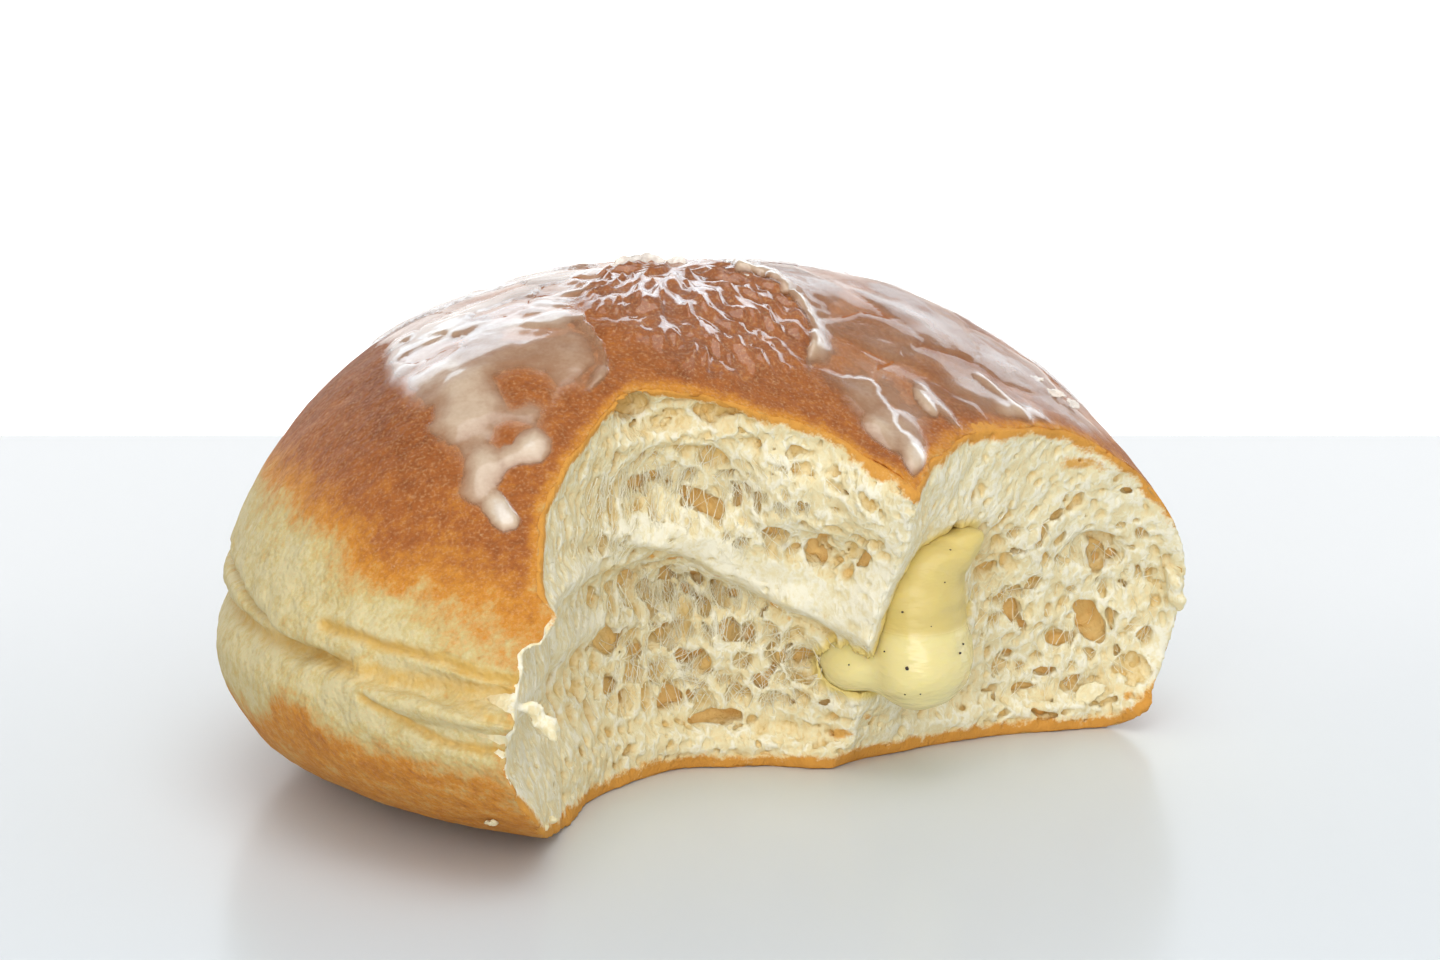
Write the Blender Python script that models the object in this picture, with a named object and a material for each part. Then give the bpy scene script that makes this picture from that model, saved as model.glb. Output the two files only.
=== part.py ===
"""A custard-filled doughnut lying on its base, with two bites out of its front and right side.

The doughnut has no hole. It is two solids: the dough, with its crust, and the custard that runs inside it
and comes out at the ridge between the two bites. Constants are in millimetres and degrees, measured from
the middle of the whole bun's base. +Z is up, -Y is the bitten front, and azimuths run anticlockwise from +X.
The origin is a little off that middle: it is the bottom centre of what the bites have left.
"""

import math

import bmesh
import bpy
import numpy as np

MM = 0.001
ORIGIN = (-1.7, 1.2, 0.0)  # from the middle of the whole bun's base

# The whole bun: a dome over a rounded underside, both as superellipses that meet at the waist.
BUN_RADIUS = 45.0
WAIST_HEIGHT = 14.0
DOME_TOP = 44.0
DOME_ROUNDNESS = 2.2  # exponent across the dome
DOME_FULLNESS = 1.68  # exponent up the dome
DOME_LEAN = (-5.0, 4.0)  # how far the top sits left of and behind the middle of the base
RIGHT_AZIMUTH = 10.0  # on this side the bun is narrower, with squarer shoulders and a wider foot
RIGHT_NARROWING = 2.0
RIGHT_SQUARING = 0.55
RIGHT_FOOT = 2.0
BASE_RADIUS = 34.0
CORNER_AZIMUTH = -115.0  # here the underside is rounder, and the base smaller
CORNER_TUCK = 15.5
BUN_SEGMENTS = 72
BUN_RINGS = 44
RING_CROWDING = 0.45  # how much closer together the rings lie at the waist
FLAT_LATITUDE = 74.0  # the rings further below the waist lie on the flat of the base

# The dome sinks towards the bites, where it was squeezed.
SAG_START = 0.005
SAG_TO_RIGHT = 0.0115  # share of the dome's height, for each millimetre to the right
SAG_TO_FRONT = 0.0155
SAG_REACH = 24.0
SAG_SOFTNESS = 0.04
LEAN_POWER = 1.5  # the lean grows this way from the waist to the top

# Folds of the pale waist: where each starts and ends, its height there, its depth and its half width.
FOLDS = (
    (-205.0, -128.0, 16.5, 16.8, 2.1, 1.5),
    (-142.0, -104.0, 19.4, 18.6, 1.3, 1.3),
    (-134.0, -100.0, 14.6, 13.4, 1.5, 1.2),
    (20.0, 160.0, 16.0, 17.0, 1.3, 1.6),
)
FOLD_FADE = 14.0  # degrees over which a fold dies away at its ends
PILLOW = (-119.0, 16.4, 14.0, 1.7, 0.9)  # azimuth, height, half length, half height and swell

# The two bites are U-shaped: at each of these heights, a superellipse from its left side to its right
# side about a middle in front of the bun, and how far back from there it reaches.
BITE_LEVELS = (-4.0, 0.0, 6.0, 14.0, 24.0, 36.0, 50.0)
LEFT_FRONT = -46.0
LEFT_SIDES = (
    (-14.6, 22.0),
    (-14.6, 22.0),
    (-14.8, 22.0),
    (-16.2, 21.8),
    (-14.3, 22.0),
    (-12.2, 21.6),
    (-11.0, 19.0),
)
LEFT_DEPTHS = (44.4, 44.4, 41.8, 39.5, 36.5, 32.5, 28.0)
LEFT_SQUARENESS = 2.9
RIGHT_FRONT = -20.0
RIGHT_SIDES = (
    (1.5, 79.0),
    (2.0, 79.0),
    (7.0, 76.5),
    (10.5, 73.5),
    (14.5, 69.5),
    (17.0, 67.0),
    (18.0, 66.0),
)
RIGHT_DEPTHS = (34.5, 34.0, 32.5, 31.0, 26.0, 20.0, 14.0)
RIGHT_SQUARENESS = 2.0
BITE_SEGMENTS = 84
BITE_RINGS = 34
CAP_LATITUDE = 80.0  # beyond it a bite's rings close to the flat top and bottom
TOOTH_WIDTH = 7.5
TOOTH_DEPTH = 0.45
TOOTH_SLANT = 0.12
POLE_LATITUDE = 89.0

# Inside the left bite an upper layer of crumb hangs over the lower one, and the base stands out again.
FLAP_HEIGHT = 18.6  # of the flap's edge at x = 0
FLAP_SLOPE = -0.5
FLAP_SPREAD = 22.0  # height over which the layers above and below turn level again
FLAP_STEP = 2.6
FLAP_EDGE = 1.6
LEDGE_HEIGHT = 3.4
LEDGE_EDGE = 2.0
LEDGE_STEP = 1.8
ROOF_HEIGHT = 33.0
ROOF_HALF_HEIGHT = 2.5
ROOF_HOLLOW = 1.6

# The base curls up along the bites' lower edge, between two places where it still touches the table.
CURL_LIFT = 1.3
CURL_REACH = 4.0
CURL_LEFT = -11.0
CURL_RIGHT = 22.0

# The custard: a tongue at the ridge, 17 mm tall, which widens to a flat pool inside the dough.
TONGUE_TIP = (19.6, -9.0, 13.6)
POOL_END = (2.0, 22.0, 15.0)
TONGUE_HALF_WIDTH = 5.4
POOL_HALF_WIDTH = 16.0
TONGUE_HALF_HEIGHT = 8.6
POOL_HALF_HEIGHT = 8.0
POOL_START = 0.3
POOL_FULL = 0.64
TONGUE_LEAN = 2.0  # how far the tongue's top stands to the right of its foot
CUSTARD_SEGMENTS = 28
CUSTARD_RINGS = 20
CUSTARD_BLUNTNESS = 0.55
CUSTARD_SQUARING = 0.85  # below 1, the custard's sides are flatter than an ellipse's
SEAT_GAP = 0.4

SHARP_ANGLE = 50.0  # edges between faces at more than this look sharp

CRUST_COLOUR = (0.62, 0.33, 0.12, 1.0)
CUSTARD_COLOUR = (0.90, 0.76, 0.33, 1.0)
CRUST_ROUGHNESS = 0.5
CUSTARD_ROUGHNESS = 0.3


def clear_scene():
    for obj in list(bpy.data.objects):
        bpy.data.objects.remove(obj, do_unlink=True)


def smooth_step(value):
    """0 below 0, 1 above 1, and a smooth rise between."""
    share = min(max(value, 0.0), 1.0)
    return share * share * (3.0 - 2.0 * share)


def signed_power(value, exponent):
    return math.copysign(abs(value) ** exponent, value)


def food_material(name, colour, roughness):
    material = bpy.data.materials.new(name)
    material.use_nodes = True
    shader = material.node_tree.nodes["Principled BSDF"]
    shader.inputs["Base Color"].default_value = colour
    shader.inputs["Roughness"].default_value = roughness
    shader.inputs["Metallic"].default_value = 0.0
    return material


def shaped_sphere(name, segments, rings, surface):
    """A closed object: a UV sphere, each point of which surface(azimuth, latitude) puts in its place."""
    shape = bmesh.new()
    bmesh.ops.create_uvsphere(shape, u_segments=segments, v_segments=rings, radius=1.0)
    for vertex in shape.verts:
        x, y, z = vertex.co
        azimuth = math.degrees(math.atan2(y, x))
        latitude = math.degrees(math.asin(min(max(z, -1.0), 1.0)))
        vertex.co = [MM * (at - start) for at, start in zip(surface(azimuth, latitude), ORIGIN)]
    bmesh.ops.recalc_face_normals(shape, faces=shape.faces)
    mesh = bpy.data.meshes.new(name)
    shape.to_mesh(mesh)
    shape.free()
    mesh.shade_smooth()
    mesh.set_sharp_from_angle(angle=math.radians(SHARP_ANGLE))
    obj = bpy.data.objects.new(name, mesh)
    bpy.context.scene.collection.objects.link(obj)
    return obj


def angle_from(azimuth, centre):
    """The turn from centre to azimuth, within half a turn either way."""
    return (azimuth - centre + 180.0) % 360.0 - 180.0


def dome_sag(x, y):
    """The share of its height that the dome has sunk by at x, y."""
    to_right = SAG_REACH * math.tanh(x / SAG_REACH) if x > 0.0 else x
    share = SAG_START + SAG_TO_RIGHT * to_right - SAG_TO_FRONT * y
    return SAG_SOFTNESS * math.log1p(math.exp(share / SAG_SOFTNESS))


def waist_relief(azimuth, height):
    """How far the skin stands out from the plain bun at the waist: below 0 in a fold."""
    relief = 0.0
    for start, end, start_height, end_height, depth, half_width in FOLDS:
        middle = (start + end) / 2.0
        turn = angle_from(azimuth, middle)
        half_length = (end - start) / 2.0
        along = (turn + half_length) / (2.0 * half_length)
        line = start_height + (end_height - start_height) * along
        fade = smooth_step((half_length - abs(turn)) / FOLD_FADE)
        relief -= depth * fade * math.exp(-(((height - line) / half_width) ** 2))
    pillow_azimuth, pillow_height, half_length, half_height, swell = PILLOW
    across = angle_from(azimuth, pillow_azimuth) / half_length
    up = (height - pillow_height) / half_height
    return relief + swell * math.exp(-(across**2) - up**2)


def base_curl(x, y):
    """How far the base is lifted at x, y: most at the bites' lower edge."""
    from_left = smooth_step((x - CURL_LEFT) / CURL_REACH)
    from_right = smooth_step((CURL_RIGHT - x) / CURL_REACH)
    behind = min(-bite.depth_at_base(x, y) for bite in BITES)
    return CURL_LIFT * from_left * from_right * smooth_step(1.0 - behind / CURL_REACH)


def bun_surface(azimuth, latitude):
    """A point of the unbitten skin."""
    last = 90.0 if latitude >= 0.0 else FLAT_LATITUDE
    turn = math.radians(90.0 * min(abs(latitude) / last, 1.0))
    turn -= RING_CROWDING * math.sin(2.0 * turn) / 2.0
    rise, spread = math.sin(turn), math.cos(turn)
    toward_right = max(0.0, math.cos(math.radians(azimuth - RIGHT_AZIMUTH)))
    radius = BUN_RADIUS - RIGHT_NARROWING * toward_right**2
    roundness = DOME_ROUNDNESS + RIGHT_SQUARING * toward_right**2
    cos_azimuth = math.cos(math.radians(azimuth))
    sin_azimuth = math.sin(math.radians(azimuth))
    if latitude >= 0.0:
        share = rise ** (2.0 / DOME_FULLNESS)
        height = WAIST_HEIGHT + (DOME_TOP - WAIST_HEIGHT) * share
        reach = radius * spread ** (2.0 / roundness)
        reach += waist_relief(azimuth, height) * spread
        x = reach * cos_azimuth + DOME_LEAN[0] * share**LEAN_POWER
        y = reach * sin_azimuth + DOME_LEAN[1] * share**LEAN_POWER
        return x, y, WAIST_HEIGHT + (height - WAIST_HEIGHT) * (1.0 - dome_sag(x, y))
    toward_corner = max(0.0, math.cos(math.radians(azimuth - CORNER_AZIMUTH)))
    base = BASE_RADIUS - CORNER_TUCK * toward_corner**2 + RIGHT_FOOT * toward_right**2
    if latitude < -FLAT_LATITUDE:
        reach = base * (90.0 + latitude) / (90.0 - FLAT_LATITUDE)
        return reach * cos_azimuth, reach * sin_azimuth, 0.0
    height = WAIST_HEIGHT * (1.0 - rise)
    reach = base + (radius - base) * spread + waist_relief(azimuth, height)
    return reach * cos_azimuth, reach * sin_azimuth, height


def curled_surface(azimuth, latitude):
    """A point of the unbitten skin, with the rim of the base raised where the bites will be."""
    x, y, z = bun_surface(azimuth, latitude)
    return x, y, z + base_curl(x, y) * smooth_step(1.0 - z / WAIST_HEIGHT)


class Bite:
    """One bite: its front, and its sides and depth at each of BITE_LEVELS."""

    def __init__(self, front, sides, depths, squareness, layered):
        self.front = front
        self.lefts = [left for left, _ in sides]
        self.rights = [right for _, right in sides]
        self.depths = depths
        self.squareness = squareness
        self.layered = layered

    def outline(self, level):
        """The middle, half width and depth of the outline at this level."""
        left = float(np.interp(level, BITE_LEVELS, self.lefts))
        right = float(np.interp(level, BITE_LEVELS, self.rights))
        depth = float(np.interp(level, BITE_LEVELS, self.depths))
        depth += LEDGE_STEP * (smooth_step((level - LEDGE_HEIGHT) / LEDGE_EDGE + 0.5) - 1.0)
        if self.layered:
            depth += FLAP_STEP * smooth_step((FLAP_HEIGHT - level) / FLAP_EDGE + 0.5)
            depth += ROOF_HOLLOW * math.exp(-(((level - ROOF_HEIGHT) / ROOF_HALF_HEIGHT) ** 2))
        return (left + right) / 2.0, (right - left) / 2.0, depth

    def point(self, azimuth, level):
        """The point of the outline in this direction from its middle."""
        middle, half_width, depth = self.outline(level)
        cos_azimuth = math.cos(math.radians(azimuth))
        sin_azimuth = math.sin(math.radians(azimuth))
        shape = 2.0 / self.squareness
        x = middle + half_width * signed_power(cos_azimuth, shape)
        y = self.front + depth * signed_power(sin_azimuth, shape)
        along = (x + TOOTH_SLANT * level) / TOOTH_WIDTH
        tooth = TOOTH_DEPTH * abs(math.sin(math.pi * along))
        tilt = 0.0
        if self.layered:
            away = min(abs(level - FLAP_HEIGHT) / FLAP_SPREAD, 1.0)
            tilt = FLAP_SLOPE * x * (1.0 + math.cos(math.pi * away)) / 2.0
        return x, y + tooth * sin_azimuth, level + tilt

    def depth_at_base(self, x, y):
        """Roughly how far inside the bite a point of the base is, below 0 outside it."""
        middle, half_width, depth = self.outline(0.0)
        across = abs((x - middle) / half_width) ** self.squareness
        along = abs((y - self.front) / depth) ** self.squareness
        return (1.0 - (across + along) ** (1.0 / self.squareness)) * depth


BITES = (
    Bite(LEFT_FRONT, LEFT_SIDES, LEFT_DEPTHS, LEFT_SQUARENESS, True),
    Bite(RIGHT_FRONT, RIGHT_SIDES, RIGHT_DEPTHS, RIGHT_SQUARENESS, False),
)


def bite_cutter(name, bite):
    """The space that a bite took, as a barrel of outlines with flat ends."""

    def surface(azimuth, latitude):
        share = min(max(latitude / CAP_LATITUDE, -1.0), 1.0)
        lowest, highest = BITE_LEVELS[0], BITE_LEVELS[-1]
        level = lowest + (highest - lowest) * (share + 1.0) / 2.0
        if abs(latitude) > POLE_LATITUDE:
            return bite.outline(level)[0], bite.front, level
        return bite.point(azimuth, level)

    return as_cutter(shaped_sphere(name, BITE_SEGMENTS, BITE_RINGS, surface))


def custard_shape(name, swell):
    """The custard, with every side moved out by swell."""

    def surface(azimuth, latitude):
        along = (1.0 - math.sin(math.radians(latitude))) / 2.0
        around = math.cos(math.radians(latitude)) ** CUSTARD_BLUNTNESS
        widening = smooth_step((along - POOL_START) / (POOL_FULL - POOL_START))
        half_width = TONGUE_HALF_WIDTH + (POOL_HALF_WIDTH - TONGUE_HALF_WIDTH) * widening
        half_height = TONGUE_HALF_HEIGHT + (POOL_HALF_HEIGHT - TONGUE_HALF_HEIGHT) * widening
        run = [end - tip for tip, end in zip(TONGUE_TIP, POOL_END)]
        length = math.hypot(run[0], run[1])
        forward = (run[0] / length, run[1] / length)
        beyond = swell * -math.sin(math.radians(latitude))
        across = signed_power(math.cos(math.radians(azimuth)), CUSTARD_SQUARING)
        across *= half_width * around + swell
        up = signed_power(math.sin(math.radians(azimuth)), CUSTARD_SQUARING)
        up *= half_height * around + swell
        across += TONGUE_LEAN * (1.0 - widening) * up / half_height
        x = TONGUE_TIP[0] + run[0] * along + forward[1] * across + forward[0] * beyond
        y = TONGUE_TIP[1] + run[1] * along - forward[0] * across + forward[1] * beyond
        z = TONGUE_TIP[2] + run[2] * along + up
        return x, y, z

    return shaped_sphere(name, CUSTARD_SEGMENTS, CUSTARD_RINGS, surface)


def cut(obj, cutter):
    modifier = obj.modifiers.new(cutter.name, "BOOLEAN")
    modifier.operation = "DIFFERENCE"
    modifier.solver = "EXACT"
    modifier.object = cutter


def as_cutter(obj):
    obj.hide_render = True
    obj.display_type = "WIRE"
    return obj


def build_dough():
    """The bun, with its base curled up, less the two bites and the room for the custard."""
    dough = shaped_sphere("dough", BUN_SEGMENTS, BUN_RINGS, curled_surface)
    dough.data.materials.append(food_material("crust", CRUST_COLOUR, CRUST_ROUGHNESS))
    for name, bite in zip(("left_bite", "right_bite"), BITES):
        cut(dough, bite_cutter(name, bite))
    cut(dough, as_cutter(custard_shape("custard_seat", SEAT_GAP)))


def build_custard():
    custard = custard_shape("custard", 0.0)
    material = food_material("custard", CUSTARD_COLOUR, CUSTARD_ROUGHNESS)
    custard.data.materials.append(material)


clear_scene()
build_dough()
build_custard()
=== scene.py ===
"""The looks of a custard-filled doughnut with two bites out of it and a thin, cracked sugar glaze.

Every shape is worked out in millimetres from the middle of the whole bun's base, with azimuths in degrees
anticlockwise from +X, -Y as the bitten front and +Z as up. A finished mesh is then put in metres about the
part's own origin.
"""

import logging
import math
from dataclasses import dataclass
from enum import Enum
from functools import reduce

import bmesh
import bpy
import numpy as np
import openvdb
from mathutils import Matrix, Vector


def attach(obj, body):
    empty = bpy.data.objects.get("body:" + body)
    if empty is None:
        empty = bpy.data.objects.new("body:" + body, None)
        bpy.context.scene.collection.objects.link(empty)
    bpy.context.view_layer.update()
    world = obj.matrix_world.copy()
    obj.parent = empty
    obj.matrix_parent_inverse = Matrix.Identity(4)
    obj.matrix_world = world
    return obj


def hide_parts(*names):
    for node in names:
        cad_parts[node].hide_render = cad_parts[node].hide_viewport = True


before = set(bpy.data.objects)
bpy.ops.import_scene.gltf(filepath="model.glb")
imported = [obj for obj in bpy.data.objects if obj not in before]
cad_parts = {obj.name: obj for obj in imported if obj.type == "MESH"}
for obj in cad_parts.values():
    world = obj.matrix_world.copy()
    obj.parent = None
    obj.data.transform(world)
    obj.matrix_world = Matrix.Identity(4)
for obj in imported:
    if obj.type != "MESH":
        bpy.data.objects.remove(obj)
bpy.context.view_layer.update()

LOG = logging.getLogger("doughnut")
MM = 0.001
ORIGIN = np.array((-1.7, 1.2, 0.0))  # the part's origin, from the middle of the whole bun's base
WHITE = (1.0, 1.0, 1.0)
BLACK = (0.0, 0.0, 0.0)
TINY = 1e-9
Array = np.ndarray
Object = bpy.types.Object
Material = bpy.types.Material
Tree = bpy.types.NodeTree
Node = bpy.types.Node
Socket = bpy.types.NodeSocket
Colour = tuple[float, float, float]
Place = tuple[float, float, float]
Pair = tuple[float, float]
Path = tuple[Pair, ...]


# ---- numbers


def smooth_step(value: Array | float) -> Array:
    """0 below 0, 1 above 1, and a smooth rise between."""
    share = np.clip(value, 0.0, 1.0)
    return share * share * (3.0 - 2.0 * share)


def angle_from(azimuth: Array, centre: float) -> Array:
    """The turn from centre to azimuth, within half a turn either way."""
    return (azimuth - centre + 180.0) % 360.0 - 180.0


def along_path(value: Array, path: Path) -> Array:
    """The second number of a path of pairs, where the first one is value."""
    return np.interp(value, [pair[0] for pair in path], [pair[1] for pair in path])


def from_path(x: Array, y: Array, path: Path) -> Array:
    """How far each place is from an open path, in the plan view.

    Args:
        x: where the places are along x.
        y: and along y.
        path: its points in turn.

    Returns:
        The distances.
    """
    distance = np.full(x.shape, np.inf)
    for (ax, ay), (bx, by) in zip(path[:-1], path[1:]):
        dx, dy = bx - ax, by - ay
        share = np.clip(((x - ax) * dx + (y - ay) * dy) / (dx * dx + dy * dy), 0.0, 1.0)
        distance = np.minimum(distance, np.hypot(x - ax - share * dx, y - ay - share * dy))
    return distance


def inside_outline(x: Array, y: Array, outline: Path) -> Array:
    """How far inside a closed outline each place is, in the plan view: below 0 outside.

    Args:
        x: where the places are along x.
        y: and along y.
        outline: its corners in turn.

    Returns:
        The distances.
    """
    inside = np.zeros(x.shape, dtype=bool)
    closed = (*outline, outline[0])
    for (ax, ay), (bx, by) in zip(closed[:-1], closed[1:]):
        dx, dy = bx - ax, by - ay
        crosses = (ay > y) != (by > y)
        inside ^= crosses & (x < dx * (y - ay) / (dy if dy else TINY) + ax)
    distance = from_path(x, y, closed)
    return np.where(inside, distance, -distance)


class Cloud:
    """A smooth random number from -1 to 1 at every place."""

    SIDE = 32

    def __init__(self, seed: int) -> None:
        """Draws the numbers at the corners of the cells."""
        self.corners = np.random.default_rng(seed).uniform(-1.0, 1.0, (self.SIDE,) * 3)

    def at(self, places: Array, size: float | Place, layers: int = 1) -> Array:
        """Reads the cloud.

        Args:
            places: points, one to a row.
            size: the width of a cell, or its width along each axis.
            layers: how many ever finer copies are added up.

        Returns:
            One number for each place.
        """
        total, weight, scaled = 0.0, 0.0, places / np.asarray(size)
        for layer in range(layers):
            at = scaled * 2.0**layer + 7.3 * layer
            start = np.floor(at).astype(int)
            share = smooth_step(at - start)
            value = 0.0
            for corner in np.ndindex(2, 2, 2):
                part = np.prod(np.where(corner, share, 1.0 - share), axis=1)
                index = tuple(((start + corner) % self.SIDE).T)
                value = value + part * self.corners[index]
            total = total + value * 0.5**layer
            weight += 0.5**layer
        return total / weight


@dataclass(frozen=True)
class Lattice:
    """A box of evenly spaced places."""

    low: Place
    high: Place
    pitch: float

    @property
    def shape(self) -> tuple[int, ...]:
        """How many places there are along each axis."""
        return tuple(int((b - a) / self.pitch) + 1 for a, b in zip(self.low, self.high))

    def axis(self, number: int) -> Array:
        """The places along one axis."""
        return self.low[number] + self.pitch * np.arange(self.shape[number])

    def grids(self) -> list[Array]:
        """X, y and z as arrays that broadcast to the whole box."""
        return list(np.meshgrid(*(self.axis(k) for k in range(3)), indexing="ij", sparse=True))

    def coarser(self, pitch: float) -> "Lattice":
        """A lattice over the same box, and a little beyond, with wider steps."""
        return Lattice(self.low, tuple(b + pitch for b in self.high), pitch)

    def spread(self, values: Array, cells: Place, soft: bool = False) -> Array:
        """Fills this lattice from values that stand at the corners of wider cells.

        Args:
            values: numbers at the corners, from this lattice's low corner on.
            cells: the cells' widths.
            soft: whether the change from corner to corner starts and ends slowly.

        Returns:
            One number for each place of the lattice.
        """
        out = values.astype(np.float32)
        for number in (2, 1, 0):
            at = np.arange(self.shape[number]) * self.pitch / cells[number]
            start = np.minimum(np.floor(at).astype(int), out.shape[number] - 2)
            share = at - start
            share = smooth_step(share) if soft else share
            share = share.astype(np.float32).reshape([-1 if k == number else 1 for k in range(3)])
            first = np.take(out, start, number)
            out = np.take(out, start + 1, number)
            out -= first
            out *= share
            out += first
        return out

    def cloud(self, cells: Place, seed: int) -> Array:
        """A smooth random number from -1 to 1 at each place."""
        counts = [int(n * self.pitch / cell) + 3 for n, cell in zip(self.shape, cells)]
        return self.spread(np.random.default_rng(seed).uniform(-1.0, 1.0, counts), cells, True)

    def read(self, values: Array, places: Array) -> Array:
        """Reads an array of this lattice at any places inside it.

        Args:
            values: numbers that stand at this lattice's places.
            places: points, one to a row.

        Returns:
            One number for each place.
        """
        at = (places - np.array(self.low)) / self.pitch
        at = np.clip(at, 0.0, np.array(values.shape) - 1.001)
        start = at.astype(int)
        share = at - start
        out = 0.0
        for corner in np.ndindex(2, 2, 2):
            part = np.prod(np.where(corner, share, 1.0 - share), axis=1)
            out = out + part * values[tuple((start + corner).T)]
        return out


def near_distance(values: Array, pitch: float) -> Array:
    """Turns a function that is 0 on a surface, on a lattice, into about the distance from it."""
    steepness = np.sqrt(sum(slope**2 for slope in np.gradient(values, pitch)))
    return values / np.maximum(steepness, 1e-4)


# ---- the bun, its bites and its filling


@dataclass(frozen=True)
class Fold:
    """A crease round the waist, from one azimuth and height to another."""

    start: float
    end: float
    start_height: float
    end_height: float
    depth: float
    half_width: float


@dataclass(frozen=True)
class BunForm:
    """The skin of the whole bun: a dome over a rounded underside, which meet at the waist."""

    radius: float = 45.0
    waist: float = 14.0
    top: float = 44.0
    roundness: float = 2.2
    fullness: float = 1.68
    lean: Pair = (-5.0, 4.0)
    lean_power: float = 1.5
    right_azimuth: float = 10.0
    right_narrowing: float = 2.0
    right_squaring: float = 0.55
    right_foot: float = 2.0
    base: float = 34.0
    corner_azimuth: float = -115.0
    corner_tuck: float = 15.5
    crowding: float = 0.45
    flat_latitude: float = 74.0
    sag: Place = (0.005, 0.0115, 0.0155)
    sag_reach: float = 24.0
    sag_softness: float = 0.04
    fold_fade: float = 14.0
    folds: tuple[Fold, ...] = (
        Fold(-205.0, -128.0, 16.5, 16.8, 0.8, 1.5),
        Fold(-142.0, -104.0, 19.4, 18.6, 0.9, 1.3),
        Fold(-134.0, -100.0, 14.6, 13.4, 0.7, 1.2),
        Fold(20.0, 160.0, 16.0, 17.0, 1.3, 1.6),
    )
    pillow: tuple[float, ...] = (-119.0, 16.4, 14.0, 1.7, 0.9)

    def sunk_share(self, x: Array, y: Array) -> Array:
        """The share of its height that the dome has sunk by at x, y.

        Args:
            x: where the places are along x.
            y: and along y.

        Returns:
            The shares, from 0.
        """
        to_right = np.where(x > 0.0, self.sag_reach * np.tanh(x / self.sag_reach), x)
        share = self.sag[0] + self.sag[1] * to_right - self.sag[2] * y
        return self.sag_softness * np.log1p(np.exp(share / self.sag_softness))

    def relief(self, azimuth: Array, height: Array) -> Array:
        """How far the skin stands out from the plain bun at the waist: below 0 in a fold.

        Args:
            azimuth: where the places are round the bun.
            height: and up it.

        Returns:
            The heights of the relief.
        """
        total = np.zeros(np.broadcast(azimuth, height).shape)
        for fold in self.folds:
            half = (fold.end - fold.start) / 2.0
            turn = angle_from(azimuth, (fold.start + fold.end) / 2.0)
            along = (turn + half) / (2.0 * half)
            line = fold.start_height + (fold.end_height - fold.start_height) * along
            fade = smooth_step((half - np.abs(turn)) / self.fold_fade)
            total -= fold.depth * fade * np.exp(-(((height - line) / fold.half_width) ** 2))
        centre, middle, half_length, half_height, swell = self.pillow
        across = angle_from(azimuth, centre) / half_length
        return total + swell * np.exp(-(across**2) - ((height - middle) / half_height) ** 2)

    def toward(self, azimuth: Array, centre: float) -> Array:
        """1 at the centre azimuth, falling to 0 a quarter turn from it, squared."""
        return np.maximum(0.0, np.cos(np.radians(azimuth - centre))) ** 2

    def skin(self, azimuth: Array, latitude: Array) -> Array:
        """Points of the unbitten skin, one to a row, for latitudes from -90 to 90.

        Args:
            azimuth: where the points are round the bun.
            latitude: and from its middle up or down.

        Returns:
            The points.
        """
        upper = latitude >= 0.0
        last = np.where(upper, 90.0, self.flat_latitude)
        turn = np.radians(90.0 * np.minimum(np.abs(latitude) / last, 1.0))
        turn = turn - self.crowding * np.sin(2.0 * turn) / 2.0
        rise, spread = np.clip(np.sin(turn), 0.0, 1.0), np.clip(np.cos(turn), 0.0, 1.0)
        right = self.toward(azimuth, self.right_azimuth)
        radius = self.radius - self.right_narrowing * right
        cosine, sine = np.cos(np.radians(azimuth)), np.sin(np.radians(azimuth))
        share = rise ** (2.0 / self.fullness)
        height = self.waist + (self.top - self.waist) * share
        reach = radius * spread ** (2.0 / (self.roundness + self.right_squaring * right))
        reach = reach + self.relief(azimuth, height) * spread
        lean = share**self.lean_power
        x, y = reach * cosine + self.lean[0] * lean, reach * sine + self.lean[1] * lean
        z = self.waist + (height - self.waist) * (1.0 - self.sunk_share(x, y))
        corner = self.toward(azimuth, self.corner_azimuth)
        base = self.base - self.corner_tuck * corner + self.right_foot * right
        low = self.waist * (1.0 - rise)
        low_reach = base + (radius - base) * spread + self.relief(azimuth, low)
        flat_reach = base * (90.0 + latitude) / (90.0 - self.flat_latitude)
        flat = latitude < -self.flat_latitude
        low, low_reach = np.where(flat, 0.0, low), np.where(flat, flat_reach, low_reach)
        x = np.where(upper, x, low_reach * cosine)
        y = np.where(upper, y, low_reach * sine)
        return np.stack([x, y, np.where(upper, z, low)], axis=1)

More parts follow.
